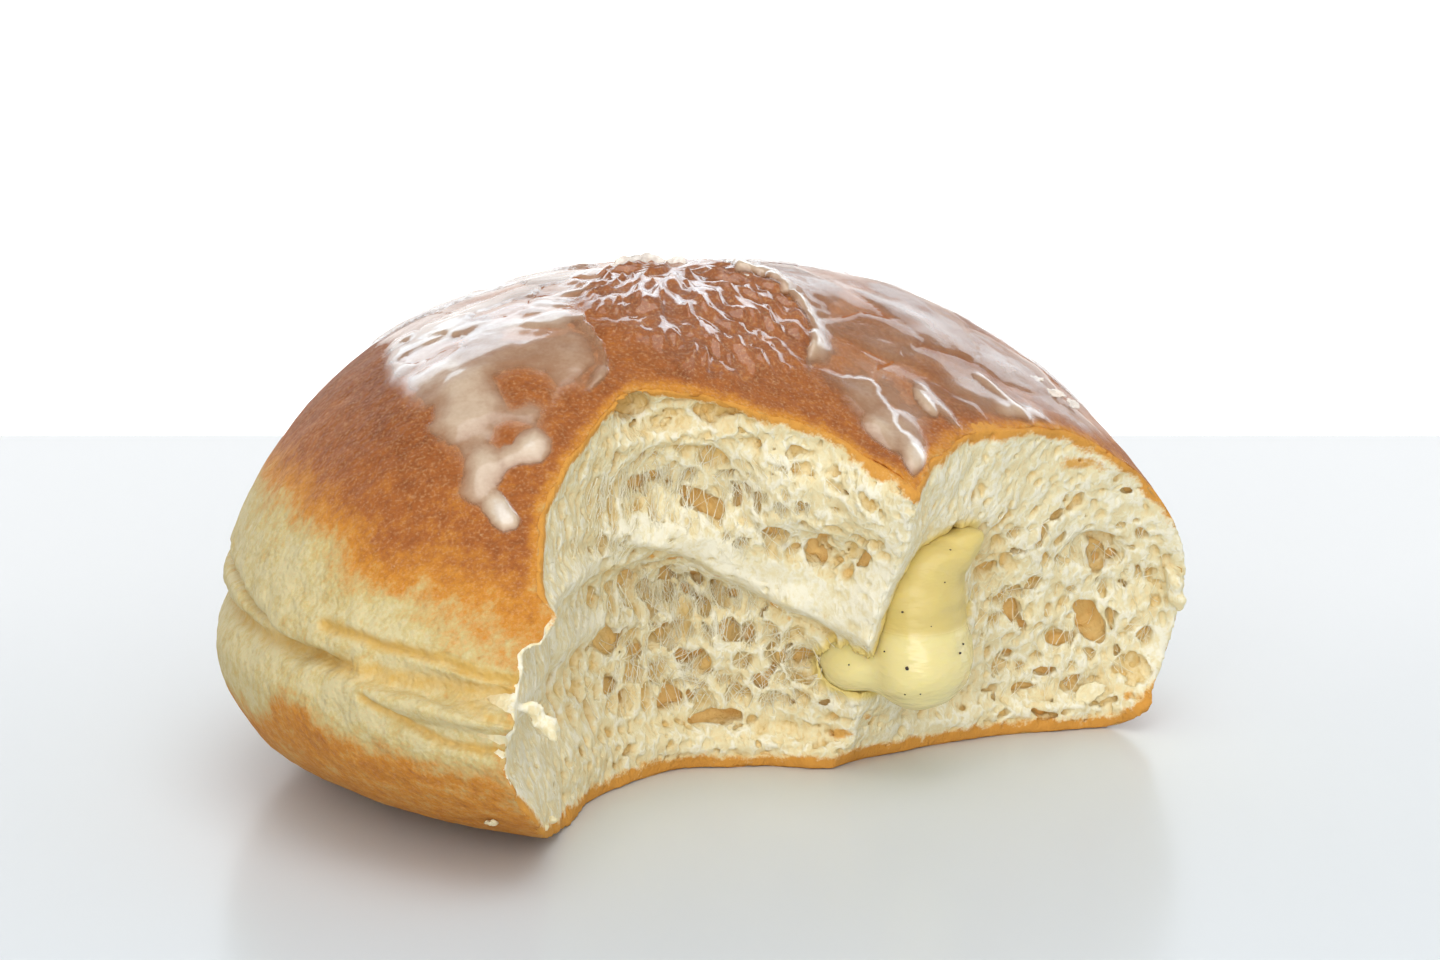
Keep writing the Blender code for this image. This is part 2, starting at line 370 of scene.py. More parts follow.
    def depth(self, lattice: Lattice) -> Array:
        """About how far inside the skin each place of a lattice is: below 0 outside.

        Args:
            lattice: the places.

        Returns:
            The depths.
        """
        x, y, z = lattice.grids()
        upright = self.waist + (z - self.waist) / (1.0 - np.minimum(self.sunk_share(x, y), 0.9))
        share = np.maximum((upright - self.waist) / (self.top - self.waist), 0.0)
        lean = np.minimum(share, 1.3) ** self.lean_power
        dx, dy = x - self.lean[0] * lean, y - self.lean[1] * lean
        azimuth = np.degrees(np.arctan2(dy, dx))
        right = self.toward(azimuth, self.right_azimuth)
        radius = self.radius - self.right_narrowing * right
        spread = np.sqrt(np.maximum(1.0 - np.minimum(share, 1.0) ** self.fullness, 0.0))
        out = (np.hypot(dx, dy) - self.relief(azimuth, upright) * spread) / radius
        power = self.roundness + self.right_squaring * right
        dome = 1.0 - np.maximum(out, 0.0) ** power - share**self.fullness
        corner = self.toward(azimuth, self.corner_azimuth)
        base = self.base - self.corner_tuck * corner + self.right_foot * right
        rise = np.clip((self.waist - z) / self.waist, 0.0, 1.0)
        reach = base + (radius - base) * np.sqrt(1.0 - rise**2) + self.relief(azimuth, z + 0.0 * x)
        under = reach - np.hypot(x, y) + 0.0 * z
        dome = near_distance(dome, lattice.pitch)
        under = near_distance(under, lattice.pitch)
        whole = np.where(z + 0.0 * under >= self.waist, dome, under)
        return np.minimum(whole, z + 0.0 * whole)


@dataclass(frozen=True)
class Ellipse:
    """A leaned ellipse in the front view."""

    x: float
    z: float
    half_length: float
    half_height: float
    lean: float

    def away(self, x: Array, z: Array) -> Array:
        """How far x, z is from the ellipse's middle: 1 on its edge.

        Args:
            x: where the places are along x.
            z: and along z.

        Returns:
            The distances, as shares of the way to the edge.
        """
        turn = math.radians(self.lean)
        dx, dz = x - self.x, z - self.z
        along = (dx * math.cos(turn) + dz * math.sin(turn)) / self.half_length
        across = (dz * math.cos(turn) - dx * math.sin(turn)) / self.half_height
        return np.hypot(along, across)


@dataclass(frozen=True)
class Dent(Ellipse):
    """A place where the torn face lies further back, or, below 0, stands out."""

    depth: float
    edge: float = 1.0

    def at(self, x: Array, z: Array) -> Array:
        """How far back the face is moved at x, z."""
        return self.depth * smooth_step((1.0 - self.away(x, z)) / self.edge)


@dataclass(frozen=True)
class BiteForm:
    """The space that a bite took: a barrel of U-shaped outlines, one above the other."""

    front: float
    sides: Path
    depths: tuple[float, ...]
    squareness: float
    layered: bool
    dents: tuple[Dent, ...] = ()
    levels: tuple[float, ...] = (-4.0, 0.0, 6.0, 14.0, 24.0, 36.0, 50.0)
    tooth_width: float = 7.5
    tooth_depth: float = 0.45
    tooth_slant: float = 0.12
    flap_height: float = 18.6
    flap_slope: float = -0.5
    flap_spread: float = 22.0
    flap_step: float = 2.6
    flap_edge: float = 1.6
    ledge: Place = (3.4, 2.0, 1.8)
    roof: Place = (33.0, 2.5, 1.6)
    left_rim: Path = ((0.0, 0.0),)
    top_rim: Path = ((0.0, 0.0),)
    top_rim_height: Pair = (19.0, 10.0)

    def level(self, x: Array, z: Array) -> Array:
        """The outline that each place lies on: they tilt with the flap's edge.

        Args:
            x: where the places are along x.
            z: and along z.

        Returns:
            The outlines' heights at x = 0.
        """
        if not self.layered:
            return z + 0.0 * x
        level = z + 0.0 * x
        for _ in range(10):
            away = np.minimum(np.abs(level - self.flap_height) / self.flap_spread, 1.0)
            level = z - self.flap_slope * x * (1.0 + np.cos(np.pi * away)) / 2.0
        return level

    def inside(self, lattice: Lattice) -> Array:
        """About how far inside the bite each place is: below 0 in what is left of the bun.

        Args:
            lattice: the places.

        Returns:
            The distances.
        """
        x, y, z = lattice.grids()
        x2, z2 = x[:, 0, :], z[0]
        level = self.level(x2, z2)
        left = np.interp(level, self.levels, [side[0] for side in self.sides])
        right = np.interp(level, self.levels, [side[1] for side in self.sides])
        depth = np.interp(level, self.levels, self.depths)
        height, edge, step = self.ledge
        depth = depth + step * (smooth_step((level - height) / edge + 0.5) - 1.0)
        if self.layered:
            depth += self.flap_step * smooth_step((self.flap_height - level) / self.flap_edge + 0.5)
            height, half, step = self.roof
            depth += step * np.exp(-(((level - height) / half) ** 2))
        along = (x2 + self.tooth_slant * level) / self.tooth_width
        depth += self.tooth_depth * np.abs(np.sin(np.pi * along))
        for dent in self.dents:
            depth += dent.at(x2, z2)
        left = left + along_path(z2, self.left_rim)
        start, rise = self.top_rim_height
        depth -= along_path(x2, self.top_rim) * smooth_step((z2 - start) / rise)
        middle, half_width = (left + right) / 2.0, (right - left) / 2.0
        across = (np.abs(x2 - middle) / half_width)[:, None, :] ** self.squareness
        back = (np.maximum(y - self.front, 0.0) / depth[:, None, :]) ** self.squareness
        return near_distance(1.0 - (across + back) ** (1.0 / self.squareness), lattice.pitch)


@dataclass(frozen=True)
class Blob:
    """An egg-shaped lump or hollow, turned about the vertical and then leaned in the front view."""

    centre: Place
    radii: Place
    turn: float = 0.0
    lean: float = 0.0

    def axes(self) -> Array:
        """Its three axes, one to a row."""
        turn, lean = math.radians(self.turn), math.radians(-self.lean)
        return np.array(Matrix.Rotation(turn, 3, "Z") @ Matrix.Rotation(lean, 3, "Y")).T

    def outside(self, x: Array, y: Array, z: Array) -> Array:
        """About how far outside it each place is: below 0 inside."""
        return egg_distance((x, y, z), self.centre, self.radii, self.axes())


def egg_distance(grids: tuple[Array, ...], centre: Place, radii: Place, axes: Array) -> Array:
    """About how far outside an egg each place is.

    Args:
        grids: x, y and z.
        centre: the egg's middle.
        radii: its half lengths along its own axes.
        axes: those axes, one to a row.

    Returns:
        The distances, below 0 inside.
    """
    dx, dy, dz = (grid - at for grid, at in zip(grids, centre))
    near, far = 0.0, 0.0
    for (ax, ay, az), radius in zip(axes, radii):
        part = (ax * dx + ay * dy + az * dz) / radius
        near = near + part**2
        far = far + (part / radius) ** 2
    near = np.sqrt(near)
    return near * (near - 1.0) / np.maximum(np.sqrt(far), 1e-3)


def melt(first: Array, second: Array, width: float) -> Array:
    """The nearer of two distances, with the corner between them rounded over a width."""
    share = np.clip(0.5 + (second - first) / (2.0 * width), 0.0, 1.0)
    return second + (first - second) * share - width * share * (1.0 - share)


BUN = BunForm()
LEFT_BITE = BiteForm(
    front=-46.0,
    sides=(
        (-14.6, 22.0), (-14.6, 22.0), (-14.8, 22.0), (-16.2, 21.8), (-14.3, 22.0), (-12.2, 21.6),
        (-11.0, 19.0),
    ),
    depths=(44.4, 44.4, 41.8, 39.5, 36.5, 32.5, 28.0),
    squareness=2.9,
    layered=True,
    dents=(
        Dent(-2.5, 28.0, 8.5, 4.6, -8.0, 2.2, 0.8),
        Dent(7.5, 22.4, 5.5, 2.6, -12.0, 1.2, 0.8),
        Dent(-3.0, 32.6, 11.0, 1.2, 4.0, -0.9, 0.8),
        Dent(-4.0, 17.0, 8.0, 2.6, -10.0, 1.6, 0.7),
        Dent(-8.4, 35.4, 2.3, 1.9, 10.0, 1.6, 0.8),
        Dent(6.4, 10.6, 2.2, 2.6, -20.0, 1.4, 0.7),
    ),
    left_rim=(
        (0.0, -0.6), (6.0, -1.0), (8.0, -1.9), (11.0, -2.7), (13.0, -2.4), (15.0, -0.9), (18.0, -0.9),
        (20.0, -0.5), (20.8, 1.4), (22.4, 1.9), (24.6, 0.5), (27.0, -0.4), (29.0, -1.2), (32.0, -1.7),
        (37.0, -1.7),
    ),
    top_rim=(
        (-7.0, -0.5), (-4.0, 0.5), (-0.2, 1.5), (6.4, 1.9), (9.2, 2.3), (12.0, 2.9), (14.3, 2.3), (17.0, 0.3),
    ),
)
RIGHT_BITE = BiteForm(
    front=-20.0,
    sides=(
        (1.5, 79.0), (2.0, 79.0), (7.0, 76.5), (10.5, 73.5), (14.5, 69.5), (17.0, 67.0), (18.0, 66.0),
    ),
    depths=(34.5, 34.0, 32.5, 31.0, 26.0, 20.0, 14.0),
    squareness=2.0,
    layered=False,
    dents=(
        Dent(33.2, 17.8, 2.2, 3.4, 75.0, 1.5, 0.6),
        Dent(22.6, 17.0, 1.8, 2.6, 10.0, 1.2, 0.8),
        Dent(29.5, 9.4, 2.2, 1.6, 10.0, 0.9, 0.8),
        Dent(38.4, 3.4, 5.0, 5.4, 0.0, -1.7, 1.0),
    ),
)
CUSTARD_BLOBS = (
    Blob((4.0, 17.5, 14.0), (14.5, 9.0, 7.6), -28.0),
    Blob((15.4, 5.0, 13.8), (5.4, 9.5, 6.4), -24.0),
    Blob((16.7, -3.6, 11.3), (4.7, 6.4, 5.0), -8.0),
    Blob((16.6, -3.4, 16.4), (4.0, 5.9, 5.0), -10.0, -6.0),
    Blob((17.8, -3.2, 20.0), (3.9, 4.2, 1.9), -10.0, 9.0),
    Blob((20.6, -3.2, 21.5), (1.6, 1.8, 0.6), -10.0, 12.0),
    Blob((11.0, -2.4, 10.4), (3.2, 4.6, 2.7), 10.0),
)
CUSTARD_MELT = 1.6


def custard_outside(x: Array, y: Array, z: Array) -> Array:
    """About how far outside the custard each place is: below 0 inside."""
    blobs = (blob.outside(x, y, z) for blob in CUSTARD_BLOBS)
    return reduce(lambda whole, blob: melt(whole, blob, CUSTARD_MELT), blobs)


# ---- nodes


class Graph:
    """Adds nodes to a material's or a node group's tree, each by one call that returns its output."""

    def __init__(self, tree: Tree) -> None:
        """Keeps the tree."""
        self.tree = tree

    def add(self, kind: str, inputs: dict[str | int, object], **settings: object) -> Node:
        """Adds one node.

        Args:
            kind: the node's type, without its ShaderNode prefix.
            inputs: a number, a tuple or another node's output for each input.
            settings: the node's own settings.

        Returns:
            The node.
        """
        node = self.tree.nodes.new("ShaderNode" + kind)
        for name, value in settings.items():
            setattr(node, name, value)
        for name, value in inputs.items():
            if isinstance(value, Socket):
                self.link(value, node, name)
            else:
                node.inputs[name].default_value = value
        return node

    def places(self) -> Socket:
        """The object's own coordinates, in metres."""
        return self.add("TexCoord", {}).outputs["Object"]

    def attribute(self, name: str) -> Socket:
        """A number that the mesh carries."""
        return self.add("Attribute", {}, attribute_name=name).outputs["Fac"]

    def link(self, value: Socket, node: Node, name: str | int) -> None:
        """Feeds a value to one of a node's inputs."""
        self.tree.links.new(value, node.inputs[name])

    def plus(self, first: object, second: object) -> Socket:
        """The sum of two numbers."""
        return self.add("Math", {0: first, 1: second}, operation="ADD").outputs[0]

    def less(self, first: object, second: object) -> Socket:
        """The first number less the second."""
        return self.add("Math", {0: first, 1: second}, operation="SUBTRACT").outputs[0]

    def times(self, first: object, second: object) -> Socket:
        """The product of two numbers."""
        return self.add("Math", {0: first, 1: second}, operation="MULTIPLY").outputs[0]

    def noise(self, places: object, scale: object, detail: float = 2.0) -> Socket:
        """A cloudy number from 0 to 1, in cells of a metre over scale."""
        inputs = {"Vector": places, "Scale": scale, "Detail": detail}
        return self.add("TexNoise", inputs).outputs["Fac"]

    def spots(self, places: object, scale: float) -> Socket:
        """The distance to the nearest of many scattered spots."""
        return self.add("TexVoronoi", {"Vector": places, "Scale": scale}).outputs["Distance"]

    def cells(self, places: object, scale: float) -> Socket:
        """How far each place is from the walls of a foam of cells: 0 on a wall."""
        inputs = {"Vector": places, "Scale": scale}
        return self.add("TexVoronoi", inputs, feature="DISTANCE_TO_EDGE").outputs["Distance"]

    def warped(self, places: object, scale: float, amount: float) -> Socket:
        """The places, moved about by up to half this many metres.

        Args:
            places: the coordinates.
            scale: the clouds' fineness.
            amount: how far they move at most.

        Returns:
            The moved coordinates.
        """
        cloud = self.add("TexNoise", {"Vector": places, "Scale": scale, "Detail": 2.0}).outputs["Color"]
        shift = self.add("VectorMath", {0: cloud, 1: (0.5, 0.5, 0.5)}, operation="SUBTRACT").outputs[0]
        shift = self.add("VectorMath", {0: shift, "Scale": amount}, operation="SCALE").outputs[0]
        return self.add("VectorMath", {0: places, 1: shift}, operation="ADD").outputs[0]

    def around(self, value: object, weight: float) -> Socket:
        """A cloud's height above or below its middle, times a weight."""
        return self.times(self.less(value, 0.5), weight)

    def stretched(self, places: object, scale: Place) -> Socket:
        """The places with each axis scaled."""
        return self.add("Mapping", {"Vector": places, "Scale": scale}).outputs[0]

    def rise(self, value: object, low: float, high: float) -> Socket:
        """0 below low, 1 above high, and a smooth rise between."""
        inputs = {"Value": value, "From Min": low, "From Max": high}
        return self.add("MapRange", inputs, interpolation_type="SMOOTHSTEP").outputs[0]

    def blend(self, share: object, first: object, second: object) -> Socket:
        """A colour between two: the first where share is 0."""
        first, second = (c if isinstance(c, Socket) else (*c, 1.0) for c in (first, second))
        return self.add("Mix", {0: share, 6: first, 7: second}, data_type="RGBA").outputs[2]

    def ramp(self, value: object, stops: tuple[tuple[float, Colour], ...]) -> Socket:
        """A colour read off a row of stops.

        Args:
            value: what is looked up.
            stops: values and their colours, from the lowest.

        Returns:
            The colour.
        """
        node = self.add("ValToRGB", {"Fac": value})
        elements = node.color_ramp.elements
        while len(elements) < len(stops):
            elements.new(0.5)
        for element, (at, colour) in zip(elements, stops):
            element.position = at
            element.color = (*colour, 1.0)
        return node.outputs["Color"]

    def bump(self, height: object, depth: float, under: object = None) -> Socket:
        """A normal with the height's relief, this many metres deep, laid over another normal if given."""
        inputs = {"Height": height, "Distance": depth} | ({} if under is None else {"Normal": under})
        return self.add("Bump", inputs).outputs["Normal"]


@dataclass(frozen=True)
class Finish:
    """What every finish has: its name and the settings of its surface that are the same all over."""

    name: str
    roughness: float = 0.5
    gloss: float = 0.5
    coat: float = 0.0
    coat_roughness: float = 0.1
    coat_index: float = 1.5
    glow: float = 0.0
    glow_depth: Place = (1.0, 0.6, 0.3)
    glow_scale: float = 0.001

    def start(self) -> tuple[Material, Graph, Node]:
        """A new material with its graph and its surface shader.

        Returns:
            The material, its graph and its shader.
        """
        material = bpy.data.materials.new(self.name)
        material.use_nodes = True
        shader = material.node_tree.nodes["Principled BSDF"]
        for name, value in (
            ("Roughness", self.roughness),
            ("Specular IOR Level", self.gloss),
            ("Coat Weight", self.coat),
            ("Coat Roughness", self.coat_roughness),
            ("Coat IOR", self.coat_index),
            ("Subsurface Weight", self.glow),
            ("Subsurface Radius", self.glow_depth),
            ("Subsurface Scale", self.glow_scale),
        ):
            shader.inputs[name].default_value = value
        return material, Graph(material.node_tree), shader


def mottle_group() -> Tree:
    """The uneven colour that baking and frying give: three sizes of cloud, added up round 0.5.

    Returns:
        The node group.
    """
    group = bpy.data.node_groups.new("mottle", "ShaderNodeTree")
    group.interface.new_socket("Places", in_out="INPUT", socket_type="NodeSocketVector")
    group.interface.new_socket("Scale", in_out="INPUT", socket_type="NodeSocketFloat")
    group.interface.new_socket("Mottle", in_out="OUTPUT", socket_type="NodeSocketFloat")
    graph = Graph(group)
    given = graph.tree.nodes.new("NodeGroupInput")
    given_out = graph.tree.nodes.new("NodeGroupOutput")
    total: object = 0.0
    for times, weight in ((1.0, 0.5), (3.7, 0.3), (13.0, 0.2)):
        scale = graph.times(given.outputs["Scale"], times)
        part = graph.noise(given.outputs["Places"], scale, 3.0)
        total = graph.plus(total, graph.times(part, weight))
    graph.link(total, given_out, "Mottle")
    return group


def mottle(graph: Graph, group: Tree, scale: float) -> Socket:
    """Places the mottle group in a material.

    Args:
        graph: the material's nodes.
        group: the node group for uneven colour.
        scale: how fine the clouds are.

    Returns:
        A number round 0.5.
    """
    node = graph.tree.nodes.new("ShaderNodeGroup")
    node.node_tree = group
    graph.link(graph.places(), node, "Places")
    node.inputs["Scale"].default_value = scale
    return node.outputs["Mottle"]


@dataclass(frozen=True)
class CrustFinish(Finish):
    """Fried skin: browned above and below, pale round the waist, a little greasy, with painted shade along
    the creases and lighter flecks that are partly painted sugar glints.
    """

    cream: Colour = (0.66, 0.565, 0.31)
    pale: Colour = (0.60, 0.48, 0.21)
    gold: Colour = (0.59, 0.24, 0.035)
    brown: Colour = (0.36, 0.115, 0.03)
    dark: Colour = (0.22, 0.065, 0.02)
    # grain_and_glint: lighter flecks, partly the crust's own grain and partly painted glints of sugar
    grain_and_glint: Colour = (0.80, 0.50, 0.24)
    freckle: Colour = (0.70, 0.46, 0.24)
    # painted shade: the darker orange laid along the creases of the waist
    crease: Colour = (0.66, 0.40, 0.09)

    def material(self, group: Tree) -> Material:
        """Builds the material.

        Args:
            group: the node group for uneven colour.

        Returns:
            The material.
        """
        material, graph, shader = self.start()
        places = graph.places()
        cloud = mottle(graph, group, 160.0)
        fine = mottle(graph, group, 900.0)
        baked = graph.attribute("baked")
        uneven = graph.plus(graph.around(cloud, 0.7), graph.around(fine, 1.0))
        baked = graph.plus(baked, uneven)
        colour = graph.ramp(
            baked,
            ((0.0, self.cream), (0.13, self.pale), (0.42, self.gold), (0.72, self.brown), (1.0, self.dark)),
        )
        # lighter flecks: partly grain, partly painted sugar glints
        grain_and_glint = graph.rise(graph.noise(places, 3600.0, 2.0), 0.45, 0.8)
        colour = graph.blend(graph.times(grain_and_glint, 0.3), colour, self.grain_and_glint)
        freckles = graph.spots(places, 1900.0)
        light = graph.rise(freckles, 0.26, 0.1)
        light = graph.times(light, graph.rise(fine, 0.5, 0.62))
        colour = graph.blend(graph.times(light, 0.3), colour, self.freckle)
        # painted shade along the creases
        crease = graph.rise(graph.plus(graph.attribute("crease"), graph.times(fine, 0.3)), 0.3, 1.1)
        colour = graph.blend(graph.times(crease, 0.8), colour, self.crease)
        shine = graph.attribute("shine")
        graph.link(shine, shader, "Coat Weight")
        graph.link(colour, shader, "Base Color")
        rough = graph.plus(graph.times(fine, 0.25), self.roughness - 0.12)
        rough = graph.less(rough, graph.times(shine, 0.25))
        graph.link(rough, shader, "Roughness")
        relief = graph.plus(graph.noise(places, 1500.0, 3.0), graph.times(freckles, -0.5))
        normal = graph.bump(relief, 0.00016)
        normal = graph.bump(graph.noise(places, 420.0, 3.0), 0.0005, normal)
        graph.link(normal, shader, "Normal")
        return material


@dataclass(frozen=True)
class CrumbFinish(Finish):
    """Torn crumb: white threads over cream, orange against the skin, tan that is partly random tone and
    partly painted shade in the hollows, and a faint painted glow in the deepest.
    """

    white: Colour = (0.88, 0.83, 0.66)
    cream: Colour = (0.81, 0.72, 0.46)
    # tan_and_shade and deep: partly the crumb's random tone, partly painted shade in its hollows
    tan_and_shade: Colour = (0.80, 0.65, 0.36)
    deep: Colour = (0.68, 0.49, 0.20)
    # painted glow: faint light given off by the deepest hollows, in place of light passing through the crumb
    painted_hollow_glow: Colour = (0.13, 0.08, 0.026)
    crust: Colour = (0.66, 0.31, 0.06)
    gold: Colour = (0.84, 0.58, 0.22)
    custard: Colour = (0.80, 0.64, 0.24)
    rust: Colour = (0.70, 0.38, 0.10)

    def material(self, group: Tree) -> Material:
        """Builds the material.

        Args:
            group: the node group for uneven colour.

        Returns:
            The material.
        """
        material, graph, shader = self.start()
        places = graph.places()
        cloud = mottle(graph, group, 420.0)
        loose = graph.warped(places, 900.0, 0.0011)
        wide = graph.rise(graph.cells(graph.stretched(loose, (1.0, 1.0, 0.7)), 620.0), 0.02, 0.24)
        close = graph.rise(graph.cells(graph.stretched(loose, (1.0, 1.0, 0.6)), 1900.0), 0.03, 0.3)
        airy = graph.attribute("airy")
        foam = graph.plus(graph.times(wide, 0.26), graph.times(close, 0.18))
        foam = graph.times(foam, airy)
        threads = graph.noise(graph.stretched(loose, (1.0, 1.0, 0.35)), 2400.0, 3.0)
        uneven = graph.plus(graph.around(cloud, 1.0), graph.around(threads, 0.6))
        # the hollow attribute is painted shade, from how enclosed and how deep each place is; the foam cells
        # and clouds add random tone
        hollow = graph.plus(graph.attribute("hollow"), graph.plus(foam, uneven))
        colour = graph.ramp(
            hollow, ((0.0, self.white), (0.2, self.cream), (0.5, self.tan_and_shade), (0.9, self.deep))
        )
        skin = graph.attribute("skin")
        skin = graph.plus(skin, graph.around(cloud, 4.0))
        edge = graph.ramp(
            graph.times(skin, 0.4),
            ((0.0, self.crust), (0.22, self.crust), (0.42, self.gold), (0.75, WHITE)),
        )
        near = graph.rise(skin, 1.3, 0.4)
        colour = graph.blend(near, colour, edge)
        stain = graph.plus(graph.attribute("stain"), graph.times(cloud, 0.4))
        colour = graph.blend(graph.rise(stain, 0.55, 1.0), colour, self.custard)
        rust = graph.plus(graph.attribute("rust"), graph.around(cloud, 3.2))
        colour = graph.blend(graph.rise(rust, 0.35, 1.1), colour, self.rust)
        graph.link(colour, shader, "Base Color")
        # painted glow: emission in the deepest hollows
        painted_glow = graph.blend(graph.rise(graph.attribute("hollow"), 0.5, 1.0), BLACK, self.painted_hollow_glow)
        graph.link(painted_glow, shader, "Emission Color")
        shader.inputs["Emission Strength"].default_value = 1.0
        relief = graph.less(graph.times(threads, -1.0), graph.times(foam, 1.4))
        graph.link(graph.bump(relief, 0.00015), shader, "Normal")
        return material


@dataclass(frozen=True)
class CustardFinish(Finish):
    """Set custard: pale yellow and wet."""

    light: Colour = (0.80, 0.70, 0.33)
    deep: Colour = (0.70, 0.56, 0.20)

    def material(self, group: Tree) -> Material:
        """Builds the material.

        Args:
            group: the node group for uneven colour.

        Returns:
            The material.
        """
        material, graph, shader = self.start()
        places = graph.places()
        cloud = mottle(graph, group, 130.0)
        high = graph.attribute("high")
        share = graph.plus(graph.times(cloud, 0.5), graph.times(high, 0.7))
        colour = graph.blend(graph.rise(share, 0.25, 0.95), self.light, self.deep)
        graph.link(colour, shader, "Base Color")
        rough = graph.plus(graph.times(high, 0.22), self.roughness)
        graph.link(rough, shader, "Roughness")
        normal = graph.bump(graph.noise(graph.stretched(places, (1.0, 1.0, 2.5)), 260.0, 3.0), 0.0004)
        graph.link(normal, shader, "Normal")
        return material


@dataclass(frozen=True)
class GlazeFinish(Finish):
    """Set sugar glaze: a milky film, whiter and less clear where it is thick."""

    film: Colour = (0.44, 0.20, 0.08)
    thin: Colour = (0.46, 0.255, 0.135)
    thick: Colour = (0.66, 0.51, 0.36)
    white: Colour = (0.88, 0.84, 0.78)

    def material(self, group: Tree) -> Material:
        """Builds the material.

        Args:
            group: the node group for uneven colour.

        Returns:
            The material.
        """
        material, graph, shader = self.start()
        cloud = mottle(graph, group, 220.0)
        body = graph.attribute("body")
        body = graph.plus(body, graph.around(cloud, 1.0))
        shade = graph.times(body, 0.7)
        colour = graph.ramp(
            shade, ((0.07, self.film), (0.24, self.thin), (0.62, self.thick), (0.9, self.white))
        )
        graph.link(colour, shader, "Base Color")
        edge = graph.rise(graph.attribute("body"), 0.0, 0.42)
        milk = graph.times(graph.rise(body, 0.1, 0.9), 0.3)
        cover = graph.times(edge, graph.plus(milk, 0.65))
        front = graph.add("NewGeometry", {}).outputs["Backfacing"]
        cover = graph.times(cover, graph.less(1.0, front))
        graph.link(cover, shader, "Alpha")
        rough = graph.plus(graph.times(cloud, 0.3), self.roughness - 0.1)
        graph.link(rough, shader, "Roughness")
        relief = graph.noise(graph.places(), 700.0, 3.0)
        graph.link(graph.bump(relief, 0.00007), shader, "Normal")
        return material


@dataclass(frozen=True)
class PlainFinish(Finish):
    """One colour, a little uneven, for the small things."""

    light: Colour = (0.8, 0.7, 0.5)
    dark: Colour = (0.7, 0.55, 0.3)
    scale: float = 900.0

    def material(self, group: Tree) -> Material:
        """Builds the material.

        Args:
            group: the node group for uneven colour.

        Returns:
            The material.
        """
        material, graph, shader = self.start()
        cloud = mottle(graph, group, self.scale)
        colour = graph.blend(graph.rise(cloud, 0.35, 0.65), self.light, self.dark)
        graph.link(colour, shader, "Base Color")
        normal = graph.bump(graph.noise(graph.places(), self.scale * 2.0), 0.0001)
        graph.link(normal, shader, "Normal")
        return material


# ---- meshes


class Slot(Enum):
    """The material slots of the record."""

    CRUST = "crust"
    CRUMB = "crumb"
    CUSTARD = "custard"
    GLAZE = "glaze"
    SPECKS = "specks"


def deselect_all() -> None:
    """Leaves nothing selected."""
    bpy.ops.object.select_all(action="DESELECT")


def pick(obj: Object) -> None:
    """Makes one object the only selected one, and the active one.

    Args:
        obj: the object.
    """
    deselect_all()
    obj.select_set(True)
    bpy.context.view_layer.objects.active = obj


def read_rows(items: bpy.types.bpy_prop_collection, name: str) -> Array:
    """Three numbers of each of a mesh's points or faces, one to a row.

    Args:
        items: the points or faces.
        name: which of their properties is read.

    Returns:
        The numbers.
    """
    values = np.empty(len(items) * 3)
    items.foreach_get(name, values)
    return values.reshape(-1, 3)


def corners_of(obj: Object) -> Array:
    """The points of a mesh, one to a row."""
    return read_rows(obj.data.vertices, "co")


def raise_corners(obj: Object, heights: Array) -> None:
    """Moves the points of a mesh out along its normals."""
    normals = read_rows(obj.data.vertices, "normal")
    move_corners(obj, corners_of(obj) + normals * heights[:, None])


def azimuth_of(places: Array) -> Array:
    """The azimuths of places, from the middle of the bun."""
    return np.degrees(np.arctan2(places[:, 1], places[:, 0]))


def select_faces(obj: Object, chosen: Array) -> None:
    """Opens a mesh for editing with some of its faces selected.

    Args:
        obj: the mesh's object.
        chosen: whether each face is selected.
    """
    pick(obj)
    bpy.ops.object.mode_set(mode="EDIT")
    bpy.ops.mesh.select_mode(type="FACE")
    bpy.ops.mesh.select_all(action="DESELECT")
    bpy.ops.object.mode_set(mode="OBJECT")
    obj.data.polygons.foreach_set("select", chosen)
    bpy.ops.object.mode_set(mode="EDIT")


def give_wall(obj: Object, thickness: float, offset: float) -> None:
    """Gives a sheet a thickness.

    Args:
        obj: the sheet.
        thickness: how thick it becomes.
        offset: -1 when the thickness lies inside the sheet, and 0 when half of it does.
    """
    pick(obj)
    wall = obj.modifiers.new("wall", "SOLIDIFY")
    wall.thickness = thickness
    wall.offset = offset
    bpy.ops.object.modifier_apply(modifier=wall.name)


def move_corners(obj: Object, places: Array) -> None:
    """Gives the points of a mesh their places."""
    obj.data.vertices.foreach_set("co", places.ravel())
    obj.data.update()


def carry(obj: Object, name: str, values: Array) -> None:
    """Gives a mesh a number for each of its points."""
    layer = obj.data.attributes.new(name, "FLOAT", "POINT")
    layer.data.foreach_set("value", np.asarray(values, dtype=np.float32))


def carry_same(obj: Object, **numbers: float) -> None:
    """Gives a mesh numbers that are the same at all of its points."""
    for name, number in numbers.items():
        carry(obj, name, np.full(len(obj.data.vertices), number))


